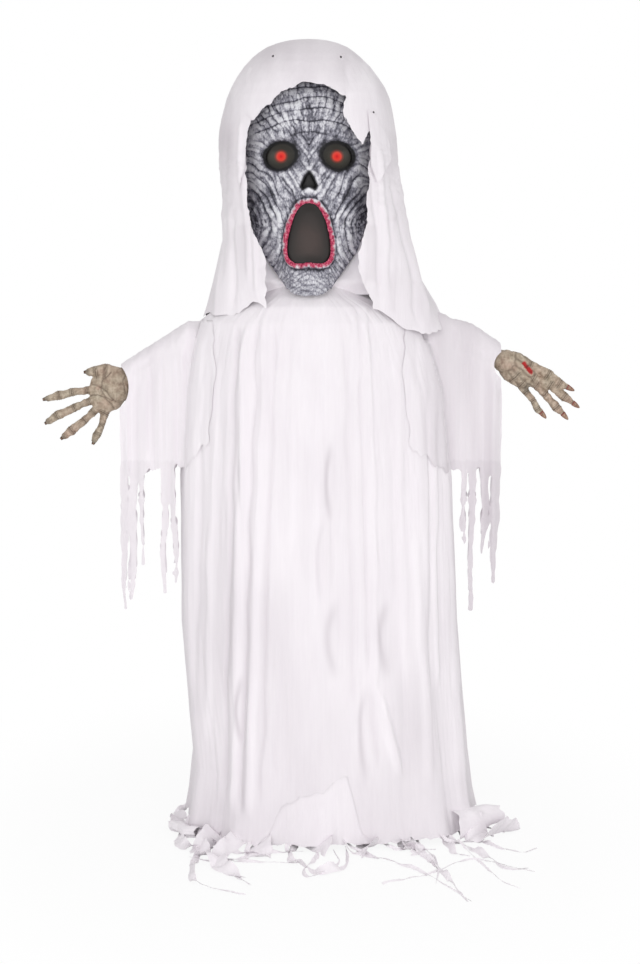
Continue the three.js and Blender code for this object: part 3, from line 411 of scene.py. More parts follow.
# Each fold: degrees from the front towards +X, width, depth high up and depth at the hem
ROBE_FOLDS = [
    (-64, 9, 8, 22), (-26, 11, 9, 15), (-2, 10, 2, 9), (24, 9, 6, 10), (45, 8, 4, 14),
    (66, 8, 9, 20), (104, 9, 6, 20), (130, 9, 8, 24), (156, 9, 8, 22), (180, 9, 8, 24),
    (-154, 9, 8, 22), (-128, 9, 8, 24), (-102, 9, 6, 20),
]
# Narrow creases of the front panel: x at the top and bottom, z at the top and bottom, width, height
ROBE_CREASES = [
    (-134, -166, 1180, 60, 9, 8), (-94, -128, 1200, 60, 8, 9), (-114, -148, 1175, 60, 6, -8),
    (-154, -186, 1170, 90, 7, -7), (-76, -106, 1175, 90, 6, -6), (122, 146, 1215, 320, 7, 7),
    (109, 128, 1200, 380, 5, -5), (46, 50, 740, 560, 3, -4), (20, 12, 1130, 500, 9, 4),
    (-30, -42, 1150, 640, 8, 4), (78, 100, 1140, 300, 7, -4), (190, 214, 1100, 340, 8, 4),
    (272, 282, 1010, 330, 5, 6), (262, 268, 1010, 330, 4, -4), (-205, -228, 1100, 200, 9, 5),
    (-236, -250, 1000, 240, 5, -4), (144, 200, 366, 140, 9, 10), (132, 150, 380, 160, 6, -6),
    (232, 262, 700, 120, 8, 5), (318, 338, 640, 110, 7, 5), (330, 352, 360, 40, 5, -5),
]
# Lens-shaped hollows of the front panel: x, z, half-width, half-height, depth, shade of the left edge
ROBE_HOLLOWS = [
    (50, 810, 16, 84, 9, 0.5), (-146, 792, 9, 70, 5, 0.3), (63, 462, 25, 80, 8, 0.34),
    (178, 462, 26, 84, 8, 0.4), (-146, 305, 15, 74, 9, 0.6), (128, 250, 18, 100, 8, 0.4),
    (30, 640, 12, 90, 5, 0.2),
]


def fold_depth(folds, angle, growth):
    degrees = np.degrees(angle)
    total = 0
    for centre, width, upper, lower in folds:
        away = np.abs((degrees - centre + 540) % 360 - 180)
        total = total + mix(upper, lower, growth) * bell(away / width)
    return total


def rounded(angle, half_width, half_depth, power):
    s, c = np.sin(angle), np.cos(angle)
    x = half_width * np.sign(s) * np.abs(s) ** (2 / power)
    y = -half_depth * np.sign(c) * np.abs(c) ** (2 / power)
    return x, y


def along_creases(creases, x, z):
    total = 0
    for x_top, x_low, top, low, width, height in creases:
        t = (top - z) / (top - low)
        sway = 4 * noise(z / 90, x_top / 7, 3)
        centre = mix(x_top, x_low, t) + sway
        fade = smooth((top - z) / 60) * smooth((z - low) / 60)
        total = total + height * fade * bell((x - centre) / width)
    return total


def hollows(x, z):
    """Depth of the lens-shaped hollows, and the shade along their edges."""
    depth, shade = 0, 0
    for centre_x, centre_z, wide, tall, deep, dark in ROBE_HOLLOWS:
        u = (x - centre_x - 3 * noise(z / 60, centre_x, 6)) / wide
        v = (z - centre_z) / tall
        size = np.hypot(u, v)
        depth = depth + deep * bell(size * 0.95)
        shade = shade + dark * bell((size - 0.86) / 0.3) * smooth(0.35 - u) * (1 - 0.6 * np.abs(v) ** 3)
        shade = shade + 0.12 * dark * smooth(1.1 - size)
    return depth, shade


def painted(patches, x, z):
    """Sum of soft-edged patches with wavy sides: x and z of two corners, edge softness and tone."""
    total = 0 * x
    x, z = x + 5 * noise(z / 34, 0.3, 93) + 2 * noise(z / 11, 0.3, 94), z + 16 * noise(x / 13, 0.3, 95)
    for x0, x1, z0, z1, soft, tone in patches:
        inside = np.minimum(np.minimum(x - x0, x1 - x), np.minimum(z - z0, z1 - z))
        total = total + tone * smooth(0.5 + inside / soft)
    return total


def robe_surface(angle, z, inward=0.0, fine=1.0):
    """Points of the robe, with its outward direction's x and y."""
    right = table_at(ROBE, z, 1)
    left = table_at(ROBE, z, 2)
    half_width = np.where(np.sin(angle) < 0, right, left) - inward
    half_depth = table_at(ROBE, z, 3) - inward
    x, y = rounded(angle, half_width, half_depth, 2.3)
    growth = np.clip((ARMHOLE_TOP - z) / ARMHOLE_TOP, 0, 1)
    fade = smooth((ARMHOLE_TOP + 30 - z) / 120)
    out = fade * fold_depth(ROBE_FOLDS, angle, growth)
    front = smooth(-y / 60)
    out = out + fine * front * (0.75 * along_creases(ROBE_CREASES, x, z) - hollows(x, z)[0])
    across = angle * ROBE_RADIUS
    calm = 0.5 + 0.5 * smooth((NECK_Z - z) / 90)
    crinkle = 2.2 * rough(across / 44, z / 420, 11, 2) + 0.9 * noise(across / 11, z / 170, 12)
    crinkle = crinkle + 0.5 * noise(across / 5.5, z / 60, 13)
    out = out + fine * calm * crinkle
    radius = np.hypot(x, y)
    grow = 1 + out / radius
    return x * grow, y * grow, x / radius, y / radius


def robe_hem(x, front):
    places = [-320, -262, -200, -118, -92, -60, -20, 34, 62, 84, 96, 118, 150, 205, 262, 330, 395]
    heights = [7, 8, 10, 12, 30, 98, 118, 128, 150, 164, 120, 30, 10, 16, 10, 8, 7]
    return np.where(front, np.interp(x, places, heights), 9 + 5 * noise(x / 70, 0.3, 5))


def robe_cloth():
    angles = np.linspace(-math.pi, math.pi, 641)
    levels = np.concatenate([np.linspace(COWL_TOP, 1150, 46), np.linspace(1145, 0, 246)])
    angle, z = np.meshgrid(angles, levels)
    x, y, _, _ = robe_surface(angle, z)
    front = y < 0
    tatter = 9 * np.abs(noise(angle * 9, 0.5, 21)) + 5 * noise(angle * 37, 0.5, 22)
    middle = (ARMHOLE_TOP + ARMHOLE_BOTTOM) / 2
    reach = mix(ARMHOLE_HIGH_REACH, ARMHOLE_LOW_REACH, smooth((ARMHOLE_STEP_Z - z) / 10))
    armhole = np.maximum(np.abs(z - middle) - ARMHOLE_HALF_HEIGHT, ARMHOLE_X + 7 - np.abs(x))
    armhole = np.maximum(armhole, np.abs(y) - reach)
    keep = np.minimum(z - robe_hem(x, front) - tatter, armhole)
    keep = np.minimum(keep, COWL_TOP - 6 + 5 * noise(angle * 5, 0.4, 23) - z)
    creases = along_creases(ROBE_CREASES, x, z)
    # Painted shade along the hollows' edges and in the creases' valleys, and painted highlight on the
    # creases' ridges.
    painted_shade_and_highlight = hollows(x, z)[1] + 0.24 * np.clip(-creases / 8, 0, 1) - 0.2 * np.clip(creases / 8, 0, 1)
    shade = np.where(front, painted_shade_and_highlight, 0)
    # Painted shade that grows towards the bottom, and some uneven tone.
    shade = shade + 0.2 * smooth((1000 - z) / 800) + 0.12 * rough(angle * 3, z / 260, 24, 2)
    points, shade = np.stack([x, y, z], -1), np.clip(shade, 0, 1)
    made = add_grid("robe_cloth", points, keep, cloth_white, closed=True, shade=shade)
    declare(made, "stand", "cloth_white", "robe_front", "robe_back")
    return made


def robe_lining():
    angles = np.linspace(math.radians(-74), math.radians(74), 200)
    levels = np.linspace(925, 4, 185)
    angle, z = np.meshgrid(angles, levels)
    x, y, _, _ = robe_surface(angle, z, inward=1.5, fine=0.9)
    sway = 3 * noise(angle * 12, z / 300, 31)
    tatter = 10 + 10 * np.abs(noise(angle * 22, 0.4, 32))
    keep = np.minimum(np.minimum(x + 186, 226 - x), z - tatter)
    points = np.stack([x, np.minimum(y + 0.6 + 0.3 * np.abs(sway), -40), z], -1)
    made = add_grid("robe_lining_cloth", points, keep, cloth_inner)
    declare(made, "stand", "cloth_inner", "robe_lining_front")


robe = robe_cloth()
robe_lining()

# Sleeves: draped over each arm, with a front and a back fall that end in torn strips
SLEEVE_START = 206
SLEEVE_INNER_EDGE = 216
SLEEVE_LOWEST = 470
OVER_ARM_RADIUS = FOAM_RADIUS + CLOTH + 1.4
STRIP_TOP = 840
BACK_STRIPS_SHORTER = 30
# Mean width of a hanging strip as a share of the width in its table
HANGING_SHARE = 0.95
# Each cuff: middle x and z of the opening's curved edge, half-width and half-height
ARMS = {
    "right": {
        "side": -1,
        "wrist": (-422, SHOULDER_Z - 92),
        "curtain": 304,
        "end": 430,
        "cuff": (440, 1008, 31, 50),
    },
    "left": {
        "side": 1,
        "wrist": (431, SHOULDER_Z - 53),
        "curtain": 348,
        "end": 438,
        "cuff": (444, 1058, 25, 30),
    },
}
# Each strip: x at the top, x at its foot, half-width, z of its foot
SLEEVE_STRIPS = {
    "right": [
        (419, 424, 8, 498),
        (399, 405, 9, 520),
        (381, 379, 5, 600),
        (327, 330, 8, 536),
        (309, 300, 6, 560),
    ],
    "left": [(424, 419, 9, 560), (402, 398, 8, 625), (372, 366, 7, 494), (355, 350, 5, 640)],
}


def arm_direction(name):
    """Direction of an arm beyond its elbow, as x and z."""
    arm = ARMS[name]
    bend = np.array([arm["side"] * ELBOW_X, SHOULDER_Z], float)
    wrist = np.array(arm["wrist"], float)
    return (wrist - bend) / np.linalg.norm(wrist - bend)


def arm_height(name, x):
    """Height of an arm's middle line at a distance x from the figure's middle."""
    out, up = arm_direction(name)
    return SHOULDER_Z + up / abs(out) * np.maximum(0, x - ELBOW_X)


def sleeve_foot(arm, x):
    """Height where the whole cloth of a sleeve ends and its torn strips go on."""
    places = [SLEEVE_START, 250, 290, arm["curtain"], arm["end"]]
    return np.interp(x, places, [905, 856, 822, 826, 804])


def smooth_over(value, soft):
    """The value where it is above 0, with a soft start."""
    return 0.5 * (value + np.sqrt(value**2 + soft**2))


def robe_side_y(side, x, z, back):
    """How far the robe's front or back stands from the middle plane beside the arm."""
    levels, places = np.linspace(780, 1230, 91), np.linspace(190, 330, 141)
    angle, z_levels = np.meshgrid(np.linspace(0.25, math.pi / 2, 240), levels)
    shells = []
    for turned in (angle, math.pi - angle):
        robe_x, robe_y, _, _ = robe_surface(side * turned, z_levels)
        rows = [
            np.interp(places, np.maximum.accumulate(side * row_x), np.abs(row_y), right=0)
            for row_x, row_y in zip(robe_x, robe_y)
        ]
        shells.append(np.array(rows))
    row = np.clip((z - levels[0]) / (levels[1] - levels[0]), 0, 89.999)
    column = np.clip(x - places[0], 0, 139.999)
    i, j = row.astype(int), column.astype(int)
    u, v = row - i, column - j
    both = [
        mix(mix(shell[i, j], shell[i, j + 1], v), mix(shell[i + 1, j], shell[i + 1, j + 1], v), u)
        for shell in shells
    ]
    return np.where(back, both[1], both[0])


def sleeve_cut(name):
    """Width, length and area of a sleeve's flat cut: over the arm, down both falls, and the strips."""
    arm, strips = ARMS[name], SLEEVE_STRIPS[name]
    x = np.linspace(SLEEVE_INNER_EDGE, arm["end"], 60)
    over = math.pi * OVER_ARM_RADIUS
    width = arm["end"] - SLEEVE_INNER_EDGE
    area = width * float(np.mean(over + 2 * (arm_height(name, x) - sleeve_foot(arm, x))))
    for _, _, half_width, foot in strips:
        area += 2 * half_width * HANGING_SHARE * (2 * (STRIP_TOP - foot) - BACK_STRIPS_SHORTER)
    lowest = min(foot for _, _, _, foot in strips)
    length = over + 2 * (SHOULDER_Z - lowest) - BACK_STRIPS_SHORTER
    return width * MM, length * MM, area * MM**2


def sleeve_cloth(name):
    arm = ARMS[name]
    side = arm["side"]
    tall = FOAM_RADIUS / abs(arm_direction(name)[0]) + CLOTH + 1.2
    columns = np.linspace(SLEEVE_START, arm["end"] + 3, 66)
    falls = np.linspace(0, 1, 110)[1:]
    arch = np.linspace(0, math.pi, 17)
    kinds = np.concatenate([-falls[::-1], np.zeros(17), falls])
    turn = np.concatenate([np.zeros(109), arch, np.full(109, math.pi)])
    fall, x = np.meshgrid(kinds, columns, indexing="ij")
    bow = np.meshgrid(turn, columns, indexing="ij")[0]
    line = arm_height(name, x)
    back = (fall > 0) | (bow > math.pi / 2)
    drop = np.abs(fall) * (line - SLEEVE_LOWEST)
    line = line + np.where(fall == 0, 0, 50 * (1 - smooth((x - 240) / 22)))
    beside = robe_side_y(side, x, line - drop, back) + 1.6
    room = 6 * smooth((x - 394) / 26) + 10 * bell((x - 284) / 26)
    spread = OVER_ARM_RADIUS + 5 * np.abs(fall) ** 0.6 + room
    lying = smooth((beside - spread - 2) / 14)
    spread = spread + smooth_over(beside - spread, 3)
    folds = 8.5 * noise(x / 21 + 5 * back, drop / 420, 41 + side)
    folds = folds + 3 * noise(x / 9 + 9 * back, drop / 160, 43 + side)
    calm = np.maximum(lying, smooth((x - 396) / 26) * smooth((70 - drop) / 40))
    folds = mix(folds, 0.35 * np.abs(folds), calm)
    y = (spread + folds * smooth(drop / 50)) * np.where(back, 1, -1)
    z = line - drop
    on_top = fall == 0
    wrinkle = 2.4 * noise(x / 13, bow * 1.6, 45 + side) + 1.4 * noise(x / 6, bow * 3, 46 + side)
    y = np.where(on_top, -(OVER_ARM_RADIUS + wrinkle + room) * np.cos(bow), y)
    crown = 31 * bell((x - 358) / 74) + 16 * smooth((334 - x) / 40) if side > 0 else 0
    z = np.where(on_top, line + (tall + np.abs(wrinkle) + crown) * np.sin(bow), z)
    shift = 4 * noise(z / 70, np.round(x / 20), 47) * smooth((820 - z) / 200)
    place = x + shift
    wave = 15 * noise(x / 24, 0.7 + 3 * back, 48 + side) + 11 * noise(x / 7, 0.2, 49)
    keep = z - sleeve_foot(arm, x) - wave
    keep = np.where(on_top & (x < 238), -1, keep)
    for k, (top_x, foot_x, width, foot) in enumerate(SLEEVE_STRIPS[name]):
        t = np.clip((STRIP_TOP - z) / (STRIP_TOP - foot), 0, 1)
        centre = mix(top_x, foot_x, t) + np.where(back, 7, 0) + 5 * noise(z / 90, k, 50)
        ragged = width * (1.25 - 0.75 * t**1.5) + 2.4 * noise(z / 15, k, 51)
        end = foot + np.where(back, BACK_STRIPS_SHORTER, 0)
        keep = np.maximum(keep, np.minimum(ragged - np.abs(place - centre), z - end))
    edge = arm["end"] - x - 3 * np.abs(noise(z / 22, 0.1, 52))
    cuff_x, cuff_z, cuff_wide, cuff_tall = arm["cuff"]
    edge = np.minimum(edge, 30 * (np.hypot((x - cuff_x) / cuff_wide, (z - cuff_z) / cuff_tall) - 1))
    ragged = 12 * noise(z / 70, 0.3 + back, 53) + 3 * noise(z / 17, 0.3, 54)
    inner_edge = x - SLEEVE_INNER_EDGE - ragged
    keep = np.minimum(keep, np.minimum(edge, inner_edge))
    points = np.stack([side * x, y, z], -1)
    # Painted shade: the left sleeve and the hanging strips are darker, with uneven tone, and there is none
    # where the sleeve lies on the robe.
    shade = 0.34 * (side > 0) + 0.16 * noise(x / 21 + 5 * back, drop / 300, 55) + 0.12 * (z < STRIP_TOP)
    shade = np.clip(shade * smooth((x - 240) / 44), 0, 1)
    made = add_grid(f"sleeve_{name}_cloth", points, keep, cloth_white, shade=shade)
    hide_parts(f"sleeve_{name}")
    width, length, area = sleeve_cut(name)
    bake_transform(made)


for name in ARMS:
    sleeve_cloth(name)

# Hood: half-widths to -X and +X, and front and back half-depths at each height
HOOD = [
    (1794, 6, 5, 6, 6), (1791, 34, 30, 30, 34), (1787, 57, 51, 52, 58), (1781, 77, 71, 72, 80),
    (1773, 97, 89, 89, 100), (1762, 114, 104, 104, 118), (1750, 129, 118, 118, 134),
    (1730, 147, 139, 135, 153), (1705, 164, 158, 150, 171), (1684, 176, 172, 160, 183),
    (1660, 186, 182, 169, 193), (1637, 192, 187, 175, 201), (1614, 198, 191, 179, 206),
    (1590, 203, 195, 182, 210), (1569, 205, 198, 184, 212), (1524, 204, 201, 184, 213),
    (1478, 200, 203, 184, 212), (1432, 194, 210, 182, 212), (1341, 192, 227, 176, 206),
    (1249, 211, 252, 162, 198), (1194, 223, 284, 150, 192), (1130, 242, 312, 146, 190),
]
HOOD_FOLDS = [
    (-58, 11, 0, 14), (-95, 12, 0, 12), (-135, 12, 0, 14), (180, 12, 0, 14), (140, 12, 0, 14),
    (100, 12, 0, 12), (62, 12, 0, 16),
]
HOOD_CREASES = [
    (-150, -132, 1640, 1230, 6, 4), (-118, -112, 1420, 1200, 5, 5), (-165, -163, 1430, 1170, 5, -5),
    (-190, -200, 1470, 1150, 6, 5), (-182, -188, 1600, 1240, 5, -3), (150, 176, 1560, 1200, 6, 5),
    (136, 160, 1500, 1190, 5, -4), (186, 256, 1540, 1150, 7, 7), (176, 240, 1500, 1140, 5, -5),
    (-60, -90, 1760, 1700, 9, 3), (70, 96, 1765, 1660, 8, -3), (20, 24, 1780, 1700, 8, 2),
]
# The ragged opening in front of the face, as x and z
FACE_OPENING = [
    (-92, 1000), (-93, 1204), (-95, 1300), (-121, 1356), (-134, 1420), (-137, 1500), (-141, 1584),
    (-122, 1602), (-106, 1618), (-84, 1636), (-62, 1661), (-30, 1674), (-10, 1681), (20, 1677),
    (42, 1672), (66, 1657), (76, 1650), (73, 1638), (77, 1606), (90, 1588), (104, 1560),
    (117, 1548), (126, 1566), (134, 1590), (131, 1520), (126, 1376), (106, 1296), (118, 1250),
    (140, 1206), (150, 1000),
]
# Small worn holes in the hood's front, as x and z, and their radius
HOLES = [(-79, 1744), (70, 1742), (141, 1620)]
HOLE_RADIUS = 2.6
# Panels of painted shade and painted highlight on the hood's front
HOOD_SHADE_PANELS = [
    (-168, -134, 1190, 1362, 12, 0.14), (-112, -92, 1190, 1290, 10, 0.14),
    (-200, -166, 1380, 1660, 16, 0.16), (172, 200, 1380, 1580, 16, 0.12),
    (122, 150, 1240, 1362, 16, 0.2), (-134, -127, 1616, 1712, 4, -0.3),
    (84, 128, 1560, 1740, 16, -0.2), (186, 196, 1180, 1440, 9, 0.16),
]


def hood_surface(angle, z, lift=0.0):
    half_width = np.where(np.sin(angle) < 0, table_at(HOOD, z, 1), table_at(HOOD, z, 2))
    half_depth = np.where(np.cos(angle) > 0, table_at(HOOD, z, 3), table_at(HOOD, z, 4))
    x, y = rounded(angle, half_width, half_depth, mix(1.8, 2.2, smooth((z - 1160) / 160)))
    growth = np.clip((HOOD_TOP - 200 - z) / 460, 0, 1)
    out = smooth(growth * 2) * fold_depth(HOOD_FOLDS, angle, growth) + lift
    front = smooth(-y / 50)
    calm = smooth((HOOD_TOP - z) / 80)
    out = out + front * along_creases(HOOD_CREASES, x, z)
    across = angle * HOOD_RADIUS
    hang = smooth((1560 - z) / 260)
    out = out + calm * (1.2 + 1.4 * hang) * rough(across / 46, z / mix(90, 300, hang), 61, 2)
    out = out + calm * (0.3 + 0.6 * hang) * noise(across / 12, z / mix(40, 130, hang), 62)
    radius = np.maximum(np.hypot(x, y), 1)
    grow = 1 + out / radius
    return x * grow, y * grow


def hood_hem(angle):
    degrees = np.degrees(angle)
    lobe = 42 * bell((degrees - 58) / 26)
    base = 1172 - lobe + 34 * bell((degrees - 33) / 9) + 34 * bell((degrees + 33) / 9)
    rough_share = 1 + 1.1 * smooth((np.abs(degrees) - 80) / 30)
    return base + rough_share * (7 * noise(angle * 7, 0.5, 63) + 4 * noise(angle * 31, 0.5, 64))


def hood_cloth():
    angles = np.linspace(-math.pi, math.pi, 361)
    share = np.concatenate([[0], np.linspace(0.02, 1, 190) ** 1.25])
    angle, s = np.meshgrid(angles, share)
    hem = hood_hem(angle)
    z = mix(HOOD_TOP, hem - 6, s)
    x, y = hood_surface(angle, z)
    x[0], y[0] = 0, 0
    z[0] = HOOD_TOP + 0.6
    front = y < 0
    ragged = 3.2 * noise(x / 16, z / 16, 65) + 1.8 * noise(x / 6, z / 6, 66)
    opening = polygon_distance(x, z, FACE_OPENING) + ragged
    keep = np.where(front, opening, 60)
    for hole_x, hole_z in HOLES:
        hole = np.hypot(x - hole_x, z - hole_z) - HOLE_RADIUS
        keep = np.where(front, np.minimum(keep, hole), keep)
    keep = np.minimum(keep, z - hem)
    # Painted shade over the hood's top and its outer sides, painted shade and highlight on the front's
    # panels, and some uneven tone.
    shade = 0.42 * smooth((z - 1590) / 190)
    shade = shade + 0.16 * smooth((np.abs(x) - 150) / 60) * smooth((z - 1400) / 200)
    shade = shade + np.where(front, painted(HOOD_SHADE_PANELS, x, z), 0)
    shade = np.clip(shade + 0.22 * rough(x / 45, z / 120, 68, 2), 0, 1)
    points = np.stack([x, y, z], -1)
    made = add_grid("hood_cloth", points, keep, cloth_white, closed=True, shade=shade)
    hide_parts("hood")
    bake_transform(made)
    return made


# Top of the turned-in edges' grid, and roughly the heights between which they keep their cloth
FOLD_TOP = 1404
# The hood's edge beside each of them, as side and then x and z from foot to top
HOOD_EDGES = {
    "right": (-1, [(118, 1236), (122, 1300), (150, 1404)]),
    "left": (1, [(146, 1236), (130, 1300), (148, 1404)]),
}
# Flaps: outline as x and z, and the range of degrees that it lies in
HOOD_FLAPS = {
    "right": (
        [(-139, 1618), (-126, 1604), (-136, 1560), (-140, 1500), (-154, 1452), (-160, 1500), (-152, 1590)],
        (-58, -30),
    ),
    "left": (
        [(128, 1626), (146, 1612), (176, 1560), (182, 1520), (150, 1462), (136, 1500), (134, 1560)],
        (30, 72),
    ),
}
FLAP_GAP = 2.2
FLAP_LIFT = 5


def hood_inner_fold(name, side, edge):
    """The hood's turned-in edge, which closes the gap between the hood and the jaw."""
    z, across = np.meshgrid(np.linspace(FOLD_TOP, 1214, 84), np.linspace(0, 1, 26), indexing="ij")
    half, rim = table_at(MASK, z, 1), table_at(MASK, z, 3)
    inner_x, inner_y = np.maximum(half - 7, 30), rim + 9
    outer_x = np.interp(z, [z for _, z in edge], [x for x, _ in edge])
    outer_y = -150 + 0.1 * (FOLD_TOP - z) + 26
    x = mix(inner_x, outer_x, across)
    wave = 2.5 * noise(across * 3, z / 40, 91) * across * (1 - across) * 4
    y = mix(inner_y, outer_y, smooth(across)) + wave
    y = y + 24 * smooth((1256 - z) / 34)
    keep = z - mix(1242, 1219, smooth(2.2 * across)) - 2 * np.abs(noise(across * 4, 0.3, 92))
    keep = np.minimum(keep, 1400 - 40 * across + 5 * noise(across * 3, 0.7, 96) - z)
    made = add_grid(name, np.stack([side * x, y, z], -1), keep, cloth_white)
    declare(made, "head", "cloth_white")


def hood_flap(name, outline, angle_range):
    """A torn flap that lies on the hood, its free edge a little lifted."""
    heights = [z for _, z in outline]
    angles = np.radians(np.linspace(*angle_range, 60))
    levels = np.linspace(max(heights) + 4, min(heights) - 4, 70)
    angle, z = np.meshgrid(angles, levels)
    share = (max(heights) - z) / (max(heights) - min(heights))
    x, y = hood_surface(angle, z, lift=FLAP_GAP + FLAP_LIFT * smooth(share))
    keep = -polygon_distance(x, z, outline) + 1.4 * noise(x / 7, z / 9, 67)
    made = add_grid(name, np.stack([x, y, z], -1), keep, cloth_white)
    declare(made, "head", "cloth_white")
    slope = 1 / math.cos(math.radians(sum(angle_range) / 2))
    pairs = zip(outline, outline[1:] + outline[:1])
    area = abs(sum(a[0] * b[1] - b[0] * a[1] for a, b in pairs)) / 2 * MM**2 * slope


hood = hood_cloth()
for name, (outline, angle_range) in HOOD_FLAPS.items():
    hood_flap(f"hood_flap_{name}", outline, angle_range)

# Mask: half-width, depth of the middle line and depth of the rim at shares of its height
MASK = [
    (mix(CHIN_Z, MASK_TOP, share), half_width, middle, rim)
    for share, half_width, middle, rim in [
        (1, 40, -96, -70), (0.965, 88, -116, -58), (0.92, 118, -131, -56), (0.86, 138, -143, -55),
        (0.77, 147, -153, -55), (0.66, 147, -150, -55), (0.58, 145, -158, -55), (0.5, 141, -163, -56),
        (0.4, 134, -160, -60), (0.3, 124, -154, -66), (0.2, 104, -150, -76), (0.12, 76, -149, -92),
        (0.05, 52, -146, -110), (0, 38, -136, -118),
    ]
]
# Large reliefs: x of the centre (mirrored when not 0), z, half-width, half-height, height
MASK_RELIEF = [
    (EYE_X, EYE_Z, 34, 32, -13),
    (EYE_X, EYE_Z + 50, 44, 14, 7),
    (96, EYE_Z - 66, 26, 40, 6),
    (0, EYE_Z - 46, 15, 40, 8),
    (0, CHIN_Z + 42, 34, 18, 6),
]
NOSE_HALF = [(0, EYE_Z - 36), (7, EYE_Z - 46), (16, EYE_Z - 66), (12, EYE_Z - 72), (0, EYE_Z - 65)]
MOUTH_HALF = [(0, 74), (17, 70), (31, 50), (42, 16), (49, -20), (47, -46), (34, -61), (15, -62), (0, -58)]


def mirrored(half):
    return half + [(-x, z) for x, z in half[-2:0:-1]]


def rounded_outline(outline):
    """Cuts the corners of a closed outline twice, so that it curves."""
    for _ in range(2):
        cut = []
        for (ax, az), (bx, bz) in zip(outline, outline[1:] + outline[:1]):
            for near in (0.75, 0.25):
                cut.append((near * ax + (1 - near) * bx, near * az + (1 - near) * bz))
        outline = cut
    return outline


NOSE = mirrored(NOSE_HALF)
MOUTH = rounded_outline(mirrored([(x, MOUTH_Z + z) for x, z in MOUTH_HALF]))


def eye_distance(x, z, side):
    """Distance outside the tilted oval of an eye opening, about right near its edge."""
    tilt = -side * 0.35
    dx, dz = x - side * EYE_X, z - EYE_Z
    u = dx * math.cos(tilt) + dz * math.sin(tilt)
    v = -dx * math.sin(tilt) + dz * math.cos(tilt)
    size = np.hypot(u / 33, v / 29)
    return (size - 1) * 31


def mask_surface(share, z, inward=0.0):
    half_width = table_at(MASK, z, 1)
    middle, rim = table_at(MASK, z, 2), table_at(MASK, z, 3)
    x = share * half_width
    y = mix(middle, rim, np.abs(share) ** 2.6)
    for centre_x, centre_z, wide, tall, out in MASK_RELIEF:
        for centre in {centre_x, -centre_x}:
            y = y - out * bell(np.hypot((x - centre) / wide, (z - centre_z) / tall))
    return x, y + inward


def grid_normals(points):
    along = np.gradient(points, axis=0)
    across = np.gradient(points, axis=1)
    normal = np.cross(across, along)
    return normal / np.maximum(np.linalg.norm(normal, axis=-1, keepdims=True), 1e-9)


def blurred(values, times):
    for _ in range(times):
        wide = np.pad(values, 1, mode="edge")
        values = (
            wide[1:-1, 1:-1] * 4 + wide[:-2, 1:-1] + wide[2:, 1:-1] + wide[1:-1, :-2] + wide[1:-1, 2:]
        ) / 8
    return values


def ridge(phase):
    """Rounded ridges with sharp valleys between them, 0 to 1."""
    return np.abs(np.sin(math.pi * phase)) ** 0.7


def crack(place, spacing, width):
    """1 along thin lines that stand one spacing apart, 0 between them."""
    share = place / spacing
    return bell(np.abs(share - np.round(share)) * spacing / width)


# Light and dark patches, partly the paint's own tone and partly painted shade and painted highlight: x
# (mirrored when not 0), z, half-width, half-height, tone
MASK_SHADE_PATCHES = [
    (112, 1580, 26, 40, 0.08), (118, 1500, 16, 60, 0.1), (0, 1620, 9, 46, -0.14),
    (44, 1648, 40, 24, 0.12), (44, 1594, 32, 11, 0.16), (0, 1535, 15, 26, -0.2),
    (90, 1430, 26, 24, -0.3), (94, 1463, 34, 8, 0.14), (30, 1482, 11, 22, 0.12),
    (112, 1385, 13, 44, -0.14), (66, 1400, 9, 44, 0.12), (84, 1326, 22, 34, 0.08),
    (6, 1279, 20, 9, -0.22), (0, 1250, 34, 16, 0.12),
]


